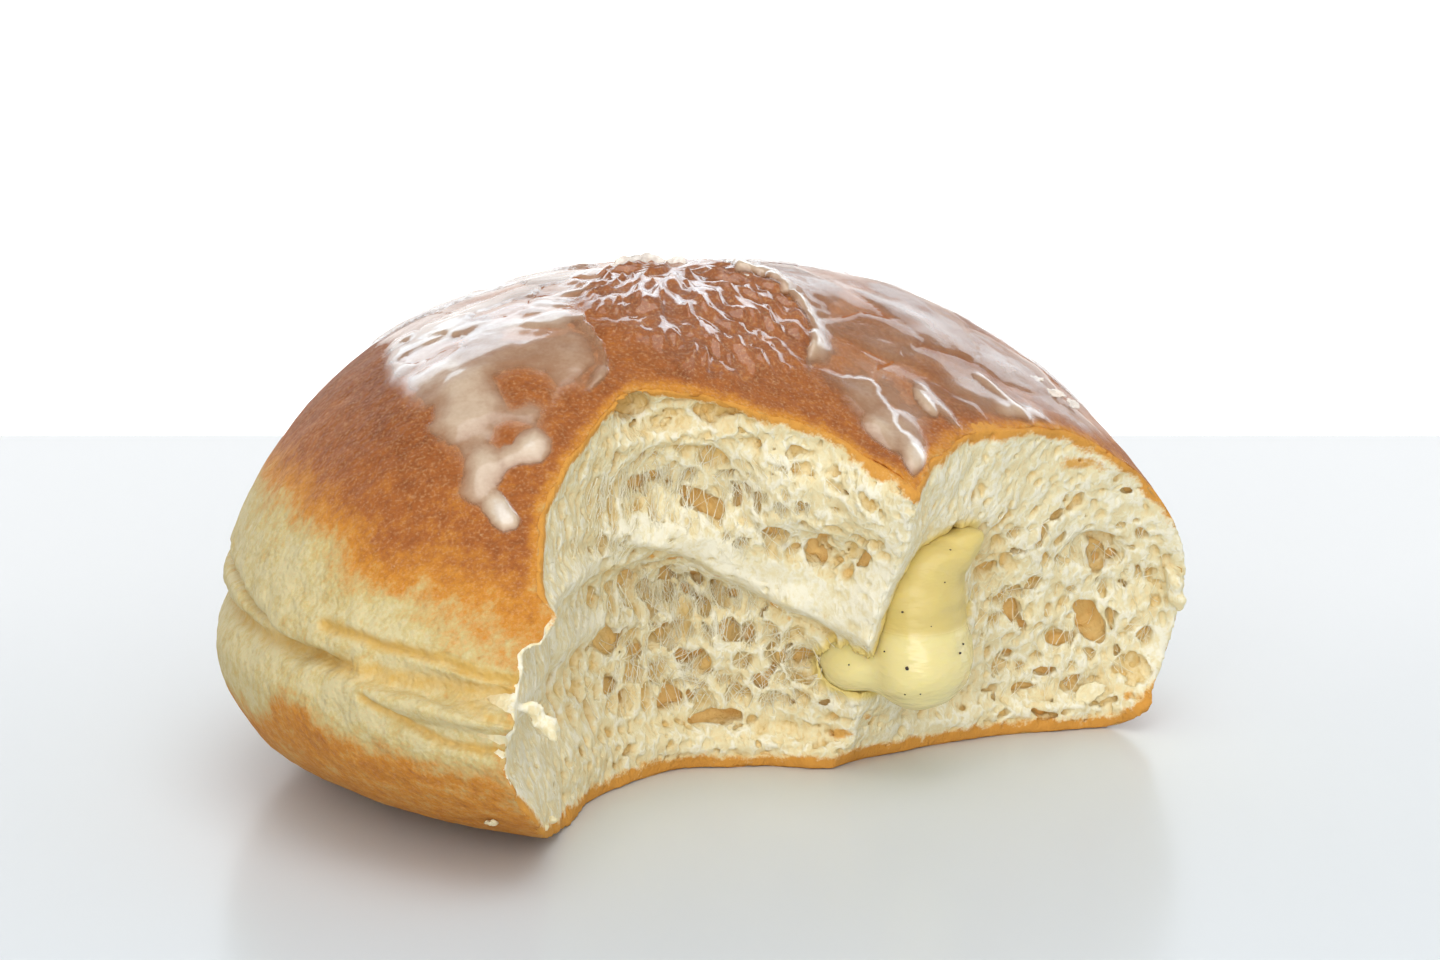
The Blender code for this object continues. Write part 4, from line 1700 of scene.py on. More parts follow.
@dataclass
class Threads:
    """Fine strings of dough, pulled across the hollows when the crumb was torn."""

    crumb: Crumb
    count: int = 16000
    thickness: float = 0.05
    lengths: Pair = (0.7, 2.8)
    widest_jump: float = 1.3
    gaps: Pair = (0.3, 3.0)
    sunk: float = 0.25
    skin_room: float = 1.2
    zones: tuple[tuple[float, ...], ...] = (
        (-2.0, 27.0, 11.0, 5.0, 0.35, 0.18),
        (-3.0, 17.0, 10.0, 3.0, 0.4, 0.12),
        (-1.0, 10.5, 13.0, 4.0, 0.7, 0.12),
        (30.0, 14.0, 10.0, 9.0, 0.7, 0.06),
    )

    def fronts(self) -> tuple[Array, Array]:
        """How far back the torn crumb first lies at each x and z, and where there is any.

        Returns:
            The y of each front, and whether it is there.
        """
        lattice, field = self.crumb.lattice, self.crumb.field
        first = np.argmax(field > 0.0, axis=1)
        rows, columns = np.indices(first.shape)
        before, after = field[rows, np.maximum(first - 1, 0), columns], field[rows, first, columns]
        share = np.clip(-before / np.maximum(after - before, 1e-4), 0.0, 1.0)
        return lattice.low[1] + lattice.pitch * (first - 1 + share), first > 0

    def build(self, material: Material) -> None:
        """Builds the strings as thin curves, then as one mesh.

        Args:
            material: the crumb's finish.
        """
        rng = np.random.default_rng(8)
        lattice = self.crumb.lattice
        fronts, found = self.fronts()
        curve = bpy.data.curves.new("crumb_threads", "CURVE")
        curve.dimensions = "3D"
        curve.bevel_depth = self.thickness
        curve.bevel_resolution = 0
        curve.use_fill_caps = True
        steps = np.linspace(0.0, 1.0, 5)
        for x, z, half_x, half_z, scatter, share in self.zones:
            for _ in range(int(self.count * share)):
                turn, out = rng.uniform(0.0, 2.0 * math.pi), math.sqrt(rng.uniform())
                slant, length = rng.normal(0.0, scatter), rng.uniform(*self.lengths)
                bulge, wobble = rng.uniform(0.0, 0.2), rng.uniform(-0.1, 0.1, 5)
                size = rng.uniform(0.5, 1.1)
                xs = x + half_x * out * math.cos(turn) + length * math.sin(slant) * steps + wobble
                zs = z + half_z * out * math.sin(turn) - length * math.cos(slant) * steps
                i = ((xs - lattice.low[0]) / lattice.pitch).astype(int)
                k = ((zs - lattice.low[2]) / lattice.pitch).astype(int)
                if min(i) < 0 or max(i) >= found.shape[0] or min(k) < 0 or max(k) >= found.shape[1]:
                    continue
                under = fronts[i, k]
                ys = under[0] + (under[-1] - under[0]) * steps - bulge * np.sin(np.pi * steps) + 0.04
                gap = (under - ys)[1:-1]
                j = ((under - lattice.low[1]) / lattice.pitch).astype(int)
                held = found[i, k].all() and self.crumb.skin[i, j, k].min() >= self.skin_room
                held = held and abs(under[0] - under[-1]) <= self.widest_jump
                if not held or gap.min() < -self.sunk or not self.gaps[0] <= gap.max() <= self.gaps[1]:
                    continue
                spline = curve.splines.new("POLY")
                spline.points.add(4)
                for point, px, py, pz, step in zip(spline.points, xs, ys, zs, steps):
                    point.co = (px, py, pz, 1.0)
                    point.radius = size * (0.55 + 0.9 * abs(2.0 * step - 1.0) ** 2)
        LOG.info("%d threads", len(curve.splines))
        obj = bpy.data.objects.new("crumb_threads", curve)
        bpy.context.scene.collection.objects.link(obj)
        pick(obj)
        bpy.ops.object.convert(target="MESH")
        obj = bpy.context.object
        face_out(obj)
        carry_same(obj, skin=4.0, hollow=0.05, airy=0.0)
        settle(obj, material, "dough")


# ---- crust


@dataclass
class Crust:
    """The thin fried skin, open at the bites."""

    segments: int = 420
    rings: int = 210
    crowd_azimuth: float = -125.0
    crowd: float = 26.0
    crowd_upward: float = 20.0
    thickness: float = 0.3
    inner_share: float = 0.12
    blisters: Pair = (0.16, 0.10)
    wrinkle_height: float = 0.75
    wrinkle_cells: Place = (2.3, 1.4, 1.4)
    rib_height: float = 0.14
    crown_middle: Pair = (-3.2, -1.0)
    crown_radius: float = 9.5
    pale_fades: Pair = (7.5, 4.0)
    underside: float = 14.0
    arc: float = 0.73
    # Each crease: its path of azimuth and height, its depth, its width and the strength of the painted shade
    # along it.
    creases: tuple[tuple[Path, float, float, float], ...] = (
        (((-178.0, 20.4), (-163.0, 20.0), (-157.0, 19.2), (-152.0, 18.6), (-148.0, 17.5), (-145.0, 17.0),
          (-140.0, 17.3), (-135.0, 17.7)), 0.9, 0.5, 0.5),
        (((-140.0, 20.0), (-135.0, 19.9), (-131.0, 19.3), (-127.5, 19.4), (-122.5, 19.2), (-120.0, 18.7),
          (-117.0, 18.3), (-110.0, 17.8)), 0.6, 0.45, 0.9),
        (((-131.0, 17.6), (-127.0, 17.2), (-122.0, 16.9), (-119.0, 16.3), (-110.0, 15.0)), 0.35, 0.35, 0.6),
        (((-131.0, 15.4), (-129.0, 15.0), (-126.0, 14.2), (-123.0, 13.6), (-121.0, 13.0), (-110.0, 12.6)),
         0.5, 0.35, 0.8),
        (((-148.0, 22.6), (-143.0, 21.6), (-137.0, 21.6)), 0.25, 0.6, 0.3),
        (((30.0, 16.6), (70.0, 17.6), (120.0, 17.0), (155.0, 18.0), (180.0, 20.3)), 0.7, 0.6, 0.7),
    )
    top_line: Path = (
        (-180.0, 27.0), (-157.0, 28.2), (-150.0, 27.0), (-142.0, 26.2), (-136.0, 24.2), (-130.0, 23.4),
        (-124.0, 21.8), (-118.0, 21.2), (-112.0, 19.8), (-100.0, 19.5), (-30.0, 18.0), (0.0, 17.0),
        (30.0, 20.0), (80.0, 23.5), (130.0, 22.0), (180.0, 27.0),
    )
    bottom_line: Path = (
        (-180.0, 9.5), (-155.0, 9.5), (-146.0, 13.0), (-140.0, 12.6), (-133.0, 11.8), (-125.0, 11.2),
        (-117.0, 11.0), (-110.0, 9.0), (-30.0, 5.0), (0.0, 4.5), (60.0, 9.0), (120.0, 11.0), (180.0, 9.5),
    )

    def shape(self) -> Object:
        """The whole skin, with its blisters and wrinkles, before it is bitten.

        Returns:
            The skin.
        """
        deselect_all()
        bpy.ops.mesh.primitive_uv_sphere_add(
            segments=self.segments, ring_count=self.rings, radius=1.0, location=(0.0, 0.0, 0.0)
        )
        obj = bpy.context.object
        obj.name = obj.data.name = "crust"
        at = corners_of(obj)
        azimuth = azimuth_of(at)
        latitude = np.degrees(np.arcsin(np.clip(at[:, 2], -1.0, 1.0)))
        azimuth = azimuth - self.crowd * np.sin(np.radians(azimuth - self.crowd_azimuth))
        latitude = latitude + self.crowd_upward * np.cos(np.radians(latitude))
        move_corners(obj, BUN.skin(azimuth, latitude))
        self.roughen(obj)
        return obj

    def roughen(self, obj: Object) -> None:
        """Raises blisters all over, wrinkles on the crown and fine ribs in the pale waist.

        Args:
            obj: the skin.
        """
        places = corners_of(obj)
        z = places[:, 2]
        wide, fine = self.blisters
        height = wide * Cloud(41).at(places, 4.5) + fine * Cloud(42).at(places, 1.9, 2)
        wrinkles = 1.0 - np.abs(Cloud(43).at(places, self.wrinkle_cells, 2)) * 2.0
        ridges = np.maximum(wrinkles + 0.25 * Cloud(47).at(places, 1.2), 0.0) ** 1.6
        height = height + self.crown(places) * (self.wrinkle_height * ridges - 0.1)
        height = height - self.creased(places)[0]
        ribs = Cloud(44).at(places, (1.0, 1.0, 3.5), 2)
        height = height + self.rib_height * self.paleness(places) * ribs
        height = np.where(z < 0.3, np.abs(height), height)
        raise_corners(obj, height * smooth_step(z / 0.6))

    def crown(self, places: Array) -> Array:
        """1 on the bare, wrinkled, shiny middle of the top, and 0 away from it."""
        away = (((places[:, :2] - self.crown_middle) / self.crown_radius) ** 2).sum(axis=1)
        return smooth_step(1.7 - away) * smooth_step((places[:, 2] - 28.0) / 4.0)

    def creased(self, places: Array) -> tuple[Array, Array]:
        """How deep the creases are at each place, and how strongly painted shade darkens them.

        Args:
            places: points, one to a row.

        Returns:
            The depths, and the strengths of the painted shade, up to 1.
        """
        azimuth = azimuth_of(places)
        across = self.arc * angle_from(azimuth, self.crowd_azimuth)
        deep, crease_shading = np.zeros(len(places)), np.zeros(len(places))
        wobble = 0.25 * Cloud(48).at(places, 1.5, 2)
        for path, depth, width, shade_strength in self.creases:
            flat = tuple((self.arc * float(angle_from(a, self.crowd_azimuth)), h) for a, h in path)
            away = from_path(across, places[:, 2] + wobble, flat)
            deep += depth * np.exp(-((away / width) ** 2))
            crease_shading = np.maximum(crease_shading, shade_strength * np.exp(-((away / (width * 1.5)) ** 2)))
        return deep, crease_shading

    def paleness(self, places: Array) -> Array:
        """1 in the pale band round the waist and 0 above and below it.

        Args:
            places: points, one to a row.

        Returns:
            One number for each place.
        """
        azimuth = azimuth_of(places)
        wave = 1.3 * Cloud(45).at(places, (3.0, 3.0, 6.0), 2)
        top = along_path(azimuth, self.top_line) + wave
        bottom = along_path(azimuth, self.bottom_line) + 0.8 * wave
        upper = smooth_step((top - places[:, 2]) / self.pale_fades[0] + 0.5)
        return upper * smooth_step((places[:, 2] - bottom) / self.pale_fades[1] + 0.5)

    def bite(self, obj: Object, values: Array) -> None:
        """Cuts the skin along the line where the bites meet it.

        Args:
            obj: the whole skin.
            values: how far inside a bite each of its points is.
        """
        mesh = bmesh.new()
        mesh.from_mesh(obj.data)
        mesh.verts.ensure_lookup_table()
        number = mesh.verts.layers.float.new("torn")
        for vert, value in zip(mesh.verts, values):
            vert[number] = value
        crossing = [e for e in mesh.edges if (e.verts[0][number] > 0.0) != (e.verts[1][number] > 0.0)]
        new = []
        for edge in crossing:
            a, b = edge.verts
            share = a[number] / (a[number] - b[number])
            share = min(max(share, 0.02), 0.98)
            _, vert = bmesh.utils.edge_split(edge, a, share)
            vert[number] = 0.0
            new.append(vert)
        fresh = set(new)
        mesh.faces.index_update()
        for face in sorted({f for vert in new for f in vert.link_faces}, key=lambda f: f.index):
            ends = [v for v in face.verts if v in fresh]
            if len(ends) == 2:
                try:
                    bmesh.utils.face_split(face, ends[0], ends[1])
                except ValueError:
                    continue
        gone = [v for v in mesh.verts if v[number] > 0.0 and v not in fresh]
        bmesh.ops.delete(mesh, geom=gone, context="VERTS")
        loose = [v for v in mesh.verts if not v.link_faces]
        bmesh.ops.delete(mesh, geom=loose, context="VERTS")
        mesh.to_mesh(obj.data)
        mesh.free()

    def build(self, crumb: Crumb, material: Material) -> None:
        """Builds the skin, and keeps a copy of it from before it is bitten.

        Args:
            crumb: knows where the bites are.
            material: the crust's finish.
        """
        obj = self.shape()
        self.whole = bpy.data.objects.new("unbitten_skin", obj.data.copy())
        bpy.context.scene.collection.objects.link(self.whole)
        places = corners_of(obj)
        frayed = 0.3 + 0.45 * Cloud(49).at(places, 1.3, 2)
        self.bite(obj, crumb.torn_at(places) + frayed)
        line_inside(obj, self.thickness, self.inner_share)
        places = corners_of(obj)
        cloud = Cloud(46).at(places, 7.0, 3)
        crown = smooth_step((places[:, 2] - 30.0) / 12.0)
        azimuth = azimuth_of(places)
        above = smooth_step((places[:, 2] - along_path(azimuth, self.top_line)) / 8.0)
        baked = 0.5 + 0.24 * above + 0.08 * crown + 0.10 * cloud
        pale = self.paleness(places)
        # browner towards the left side: partly the crust's own browning, partly painted shade for the weaker
        # light there
        baked += 0.15 * smooth_step((-20.0 - places[:, 0]) / 10.0)
        baked = np.where(places[:, 2] < self.underside, 0.44 + 0.06 * cloud, baked)
        cut = smooth_step(1.0 + (crumb.torn_at(places) + 0.3) / 1.5 + 0.5 * cloud)
        baked = baked * (1.0 - pale) + 0.06 * pale
        carry(obj, "baked", np.clip(baked + (0.32 - baked) * 0.75 * cut, 0.0, 1.0))
        # painted shade along the creases
        carry(obj, "crease", self.creased(places)[1])
        carry(obj, "shine", self.crown(places))
        settle(obj, material, "dough")


# ---- custard


@dataclass
class Custard:
    """The filling: a pool inside the bun with a tongue that comes out between the bites."""

    low: Place = (-16.0, -13.0, 4.0)
    high: Place = (26.0, 30.0, 25.0)
    pitch: float = 0.3

    def build(self, material: Material) -> None:
        """Builds the custard as one smooth lump.

        Args:
            material: the custard's finish.
        """
        lattice = Lattice(self.low, self.high, self.pitch)
        outside = custard_outside(*lattice.grids())
        outside = outside + 0.12 * lattice.cloud((2.6, 2.6, 1.4), 61)
        outside = outside + 0.04 * lattice.cloud((0.9, 0.9, 0.7), 62)
        places, faces = surface_of(lattice, (-outside).astype(np.float32), 0.0)
        obj = piece_from("custard_filling", places, faces)
        places = corners_of(obj)
        carry(obj, "high", smooth_step((places[:, 2] - 13.6) / 1.2))
        settle(obj, material, "custard")


# ---- glaze


@dataclass(frozen=True)
class Drop:
    """A place where the glaze ran together, round in the plan view."""

    x: float
    y: float
    radius: float
    height: float
    stretch: float = 1.0
    turn: float = 0.0

    def at(self, x: Array, y: Array) -> Array:
        """How much thicker the glaze is at x, y.

        Args:
            x: where the places are along x.
            y: and along y.

        Returns:
            The added thickness.
        """
        turn = math.radians(self.turn)
        dx, dy = x - self.x, y - self.y
        along = (dx * math.cos(turn) + dy * math.sin(turn)) / self.stretch
        across = dy * math.cos(turn) - dx * math.sin(turn)
        away = np.hypot(along, across) / self.radius
        return self.height * np.maximum(1.0 - away**2, 0.0) ** 0.8


@dataclass
class Glaze:
    """A thin, cracked and partly flaked coat of sugar over the top of the bun."""

    low: Pair = (-40.0, -33.0)
    high: Pair = (43.0, 42.0)
    pitch: float = 0.32
    start_height: float = 70.0
    lowest: float = 21.0
    depth: float = 0.06
    wall: float = 0.1
    inner_share: float = 0.15
    body: float = 0.22
    soft_edge: float = 2.4
    outline: Path = (
        (-33.0, 7.0), (-30.6, -1.0), (-30.2, -7.5), (-29.2, -12.0), (-27.8, -15.6), (-26.2, -18.2),
        (-24.6, -20.8), (-23.6, -23.0), (-22.4, -24.6), (-24.2, -26.2), (-22.0, -26.4), (-20.3, -27.4),
        (-18.6, -29.2), (-16.6, -29.4), (-16.6, -27.6), (-18.4, -25.8), (-17.6, -24.2), (-15.2, -23.6),
        (-14.0, -21.8), (-14.3, -19.6), (-13.3, -18.0), (-11.2, -17.0), (-9.6, -13.5), (-10.4, -11.0),
        (-12.0, -9.0), (-12.2, -5.0), (-10.0, -1.0), (-9.5, 4.0), (-6.0, 8.0), (-1.0, 7.0), (0.6, 3.4),
        (2.5, 3.0), (4.0, 2.0), (5.5, 0.5), (6.3, -1.2), (6.5, -4.0), (5.8, -7.8), (7.0, -9.2),
        (9.5, -10.4), (11.0, -12.0), (13.6, -13.2), (14.8, -14.6), (16.4, -14.9), (17.2, -12.8),
        (17.4, -9.8), (18.6, -7.6), (21.0, -5.8), (23.5, -4.0), (26.0, -3.2), (29.0, -0.6), (31.6, -0.4),
        (33.5, 4.0), (36.5, 10.0), (36.0, 19.0), (31.0, 27.0), (24.0, 31.0), (21.0, 34.5), (17.0, 32.5),
        (10.0, 35.0), (3.0, 38.0), (-3.0, 35.5), (-12.0, 36.0), (-17.0, 34.0), (-21.0, 35.5),
        (-25.0, 29.0), (-31.0, 24.0), (-33.0, 15.0),
    )
    bare: tuple[Path, ...] = (
        ((-19.6, -15.6), (-18.4, -16.4), (-17.6, -16.0), (-15.6, -16.2), (-15.4, -17.6), (-16.6, -17.0),
         (-17.6, -17.8), (-18.4, -16.9)),
        ((-18.4, -20.8), (-17.4, -21.0), (-17.8, -21.9), (-18.4, -21.7)),
        ((-26.0, -17.6), (-24.6, -17.4), (-24.8, -18.8), (-25.9, -18.9)),
    )
    lone: tuple[Path, ...] = (
        ((-13.6, -25.0), (-12.6, -25.2), (-12.5, -27.4), (-13.6, -28.4), (-14.0, -27.0)),
        ((34.6, 2.2), (36.2, 3.2), (36.6, 5.4), (35.0, 5.0)),
        ((-27.6, -19.2), (-26.6, -19.0), (-26.4, -20.6), (-27.3, -20.8)),
    )
    rims: tuple[tuple[Path, float, float], ...] = (
        (((-0.4, 5.4), (0.8, 3.6), (2.6, 3.0), (4.0, 2.0), (5.6, 0.4), (6.4, -1.6), (6.6, -4.0)), 0.75, 1.3),
        (((6.6, -4.0), (5.9, -7.8), (7.2, -9.2)), 0.25, 0.8),
        (((-11.0, -16.6), (-9.7, -13.5), (-10.5, -11.0), (-12.0, -8.8)), 0.4, 0.9),
        (((22.0, 1.6), (24.4, 0.4), (26.8, -1.8)), 0.2, 0.5),
        (((16.6, -3.6), (18.4, -5.4), (20.2, -7.0)), 0.2, 0.5),
        (((24.0, -1.4), (27.0, 0.6), (30.6, 0.2)), 0.25, 0.8),
    )
    drops: tuple[Drop, ...] = (
        Drop(-18.2, -27.6, 2.0, 0.75, 1.3, 35.0),
        Drop(-16.4, -22.6, 2.1, 0.5, 1.2, 0.0),
        Drop(-20.0, -24.6, 2.2, 0.35, 1.4, 60.0),
        Drop(-22.6, -18.0, 3.2, 0.3, 1.6, 40.0),
        Drop(-13.0, -26.6, 1.0, 0.4, 1.6, 100.0),
        Drop(15.9, -13.2, 1.3, 0.6, 1.8, 100.0),
        Drop(12.6, -11.4, 1.3, 0.3, 1.5, 130.0),
        Drop(13.4, -8.4, 3.8, 0.12, 1.5, 120.0),
        Drop(14.8, -11.0, 2.6, 0.2, 1.4, 110.0),
        Drop(22.0, -1.0, 3.0, 0.08, 1.8, 140.0),
        Drop(31.0, 0.3, 0.9, 0.9, 1.3, 60.0),
        Drop(35.6, 4.0, 1.2, 0.6, 1.3, 60.0),
        Drop(16.8, -5.2, 0.7, 0.5, 2.4, 125.0),
        Drop(-2.0, 36.0, 2.4, 0.6, 1.3, 90.0),
        Drop(22.0, 32.6, 2.0, 0.6, 1.3, 60.0),
        Drop(-21.6, 33.6, 2.0, 0.6, 1.3, 120.0),
    )
    plates: int = 190
    plate_step: float = 0.28
    plate_stretch: float = 0.6
    crack_width: float = 0.22
    crack_depth: float = 0.11
    thinnest: float = 0.12

    def cover(self, places: Array, torn: Array) -> Array:
        """How far inside the glaze's edge each place is, in the plan view.

        Args:
            places: points, one to a row.
            torn: how far inside a bite each of them is.

        Returns:
            One number for each place.
        """
        x, y = places[:, 0], places[:, 1]
        inside = inside_outline(x, y, self.outline)
        for gap in self.bare:
            inside = np.minimum(inside, 0.45 - inside_outline(x, y, gap))
        for patch in self.lone:
            inside = np.maximum(inside, inside_outline(x, y, patch))
        ragged = 0.5 * Cloud(71).at(places, 2.6, 2) + 0.3 * Cloud(72).at(places, 0.9, 2)
        return np.minimum(inside + ragged, -torn - 0.4)

    def thickness(self, places: Array, inside: Array) -> tuple[Array, Array]:
        """How thick the glaze is at each place, and how milky it looks there.

        Args:
            places: points, one to a row.
            inside: how far inside the glaze's edge each of them is.

        Returns:
            Two numbers for each place, 0 where there is no glaze.
        """
        x, y = places[:, 0], places[:, 1]
        rng = np.random.default_rng(73)
        seeds = rng.uniform(self.low, self.high, (self.plates, 2))
        offsets = rng.uniform(-1.0, 1.0, self.plates)
        across = x * self.plate_stretch + 0.9 * Cloud(74).at(places, 3.0)
        along = y + 0.9 * Cloud(75).at(places, 3.0)
        nearest, second = np.full(len(x), np.inf), np.full(len(x), np.inf)
        owner = np.zeros(len(x), dtype=int)
        for number, (sx, sy) in enumerate(seeds):
            away = np.hypot(across - sx * self.plate_stretch, along - sy)
            closer = away < nearest
            second = np.where(closer, nearest, np.minimum(second, away))
            owner = np.where(closer, number, owner)
            nearest = np.minimum(nearest, away)
        cracked = smooth_step((y + 13.0) / 5.0)
        crack = np.exp(-(((second - nearest) / self.crack_width) ** 2)) * cracked
        slopes = rng.uniform(-1.0, 1.0, self.plates)
        tilt = offsets[owner] + 0.5 * self.plate_stretch * (x - seeds[owner, 0]) * slopes[owner]
        body = self.body + self.plate_step * 0.5 * tilt * cracked
        ripples = Cloud(76).at(places, (6.0, 2.2, 2.2), 2)
        body = body + 0.1 * ripples + 0.06 * Cloud(77).at(places, 3.2, 2)
        body = np.maximum(body, self.thinnest) - self.crack_depth * crack
        edge = smooth_step(inside / self.soft_edge)
        total = body * edge + 0.05 * np.exp(-(((inside - 0.4) / 0.35) ** 2))
        side = 1.1 - 0.5 * smooth_step((x + 2.0) / 6.0)
        milk = (self.body + 0.10 * ripples + 0.05 * offsets[owner] * cracked) * edge * side
        for path, height, width in self.rims:
            rim = height * np.exp(-((from_path(x, y, path) / width) ** 2)) * smooth_step(inside / 0.6)
            total, milk = total + rim, milk + 0.7 * rim
        for drop in self.drops:
            run = 0.7 * drop.at(x, y) * smooth_step(inside / 0.6)
            total, milk = total + run, milk + run
        return np.where(inside > 0.0, total, 0.0), np.where(inside > 0.0, milk, 0.0)

    def build(self, crust: "Crust", crumb: Crumb, material: Material) -> None:
        """Builds the glaze on the crust's own surface.

        Args:
            crust: the crust, whose unbitten skin the glaze lies on.
            crumb: knows where the bites are.
            material: the glaze's finish.
        """
        deselect_all()
        size = [b - a for a, b in zip(self.low, self.high)]
        middle = [(a + b) / 2.0 for a, b in zip(self.low, self.high)]
        counts = [int(length / self.pitch) for length in size]
        place = (*middle, self.start_height)
        bpy.ops.mesh.primitive_grid_add(
            x_subdivisions=counts[0], y_subdivisions=counts[1], size=1.0, location=place
        )
        obj = bpy.context.object
        obj.name = obj.data.name = "glaze"
        obj.scale = (*size, 1.0)
        bpy.ops.object.transform_apply(location=True, rotation=True, scale=True)
        wrap = obj.modifiers.new("wrap", "SHRINKWRAP")
        wrap.wrap_method = "PROJECT"
        wrap.use_project_z = True
        wrap.use_negative_direction = True
        wrap.use_positive_direction = False
        wrap.target = crust.whole
        pick(obj)
        bpy.ops.object.modifier_apply(modifier=wrap.name)
        bpy.data.objects.remove(crust.whole)
        places = corners_of(obj)
        torn = crumb.torn_at(places)
        torn[(places[:, 2] > self.start_height - 10.0) | (places[:, 2] < self.lowest)] = 5.0
        inside = self.cover(places, torn)
        thick, milk = self.thickness(places, inside)
        raise_corners(obj, thick - self.depth)
        carry(obj, "body", np.clip(milk / 0.6, 0.0, 1.0))
        self.trim(obj, thick)
        line_inside(obj, self.wall, self.inner_share)
        settle(obj, material, "dough")

    def trim(self, obj: Object, thick: Array) -> None:
        """Takes away the sheet where there is no glaze.

        Args:
            obj: the sheet.
            thick: how thick the glaze is at each of its points.
        """
        corners = np.empty(len(obj.data.polygons) * 4, dtype=int)
        obj.data.polygons.foreach_get("vertices", corners)
        gone = (thick[corners.reshape(-1, 4)] <= 0.0).all(axis=1)
        select_faces(obj, gone)
        bpy.ops.mesh.delete(type="FACE")
        bpy.ops.object.mode_set(mode="OBJECT")
        bpy.ops.object.shade_smooth()


# ---- small bits


def join(name: str) -> Object:
    """Joins the selected meshes into one piece with their faces pointing out.

    Args:
        name: the piece's name.

    Returns:
        The piece.
    """
    bpy.context.view_layer.objects.active = bpy.context.selected_objects[0]
    bpy.ops.object.join()
    obj = bpy.context.object
    obj.name = obj.data.name = name
    face_out(obj)
    return obj


def turned(facing: Place, spin: float) -> Array:
    """Three axes, one to a row: the last one points the given way, and the others are spun round it.

    Args:
        facing: where the last axis points.
        spin: how far the others are turned, in degrees.

    Returns:
        The axes.
    """
    toward = Vector(facing).normalized()
    turn = toward.to_track_quat("Z", "Y").to_matrix() @ Matrix.Rotation(math.radians(spin), 3, "Z")
    return np.array(turn).T


@dataclass(frozen=True)
class Flake:
    """A small thin plate, a little curled and with a ragged outline."""

    place: Place
    facing: Place
    spin: float
    length: float
    width: float
    curl: float
    thickness: float = 0.13

    def build(self, seed: int) -> Object:
        """Builds the plate as a grid with an inner wall.

        Args:
            seed: what its outline is drawn from.

        Returns:
            The flake.
        """
        deselect_all()
        bpy.ops.mesh.primitive_grid_add(x_subdivisions=16, y_subdivisions=12, size=2.0)
        obj = bpy.context.object
        u, v = corners_of(obj)[:, 0], corners_of(obj)[:, 1]
        flat = np.stack([u * np.sqrt(1.0 - v**2 / 2.0), v * np.sqrt(1.0 - u**2 / 2.0), 0.0 * u], axis=1)
        reach = 1.0 + 0.28 * Cloud(seed).at(flat * 3.0, 1.0, 2)
        x, y = flat[:, 0] * reach * self.length / 2.0, flat[:, 1] * reach * self.width / 2.0
        lift = self.curl * (x**2 + 0.4 * y**2) + 0.1 * Cloud(seed + 1).at(flat * 3.0, 1.0)
        places = np.stack([x, y, lift], axis=1) @ turned(self.facing, self.spin)
        move_corners(obj, places + np.array(self.place))
        give_wall(obj, self.thickness, 0.0)
        return obj


@dataclass(frozen=True)
class Lump:
    """A small rough lump, such as a crumb or a speck."""

    place: Place
    radii: Place
    roughness: float
    rounds: int = 3

    def build(self, seed: int) -> Object:
        """Builds the lump from a ball.

        Args:
            seed: what its roughness is drawn from.

        Returns:
            The lump.
        """
        deselect_all()
        bpy.ops.mesh.primitive_ico_sphere_add(subdivisions=self.rounds, radius=1.0)
        obj = bpy.context.object
        ball = corners_of(obj)
        ball = ball * (1.0 + self.roughness * Cloud(seed).at(ball * 2.0, 1.0, 2))[:, None]
        places = (ball * np.array(self.radii)) @ turned((0.0, 0.0, 1.0), 0.0)
        move_corners(obj, places + np.array(self.place))
        return obj


def gather(name: str, bits: tuple[Flake | Lump, ...], seed: int) -> Object:
    """Builds small bits and joins them into one piece.

    Args:
        name: the piece's name.
        bits: what it is made of.
        seed: the first bit's seed.

    Returns:
        The piece.
    """
    built = [bit.build(seed + 2 * number) for number, bit in enumerate(bits)]
    deselect_all()
    for obj in built:
        obj.select_set(True)
    return join(name)


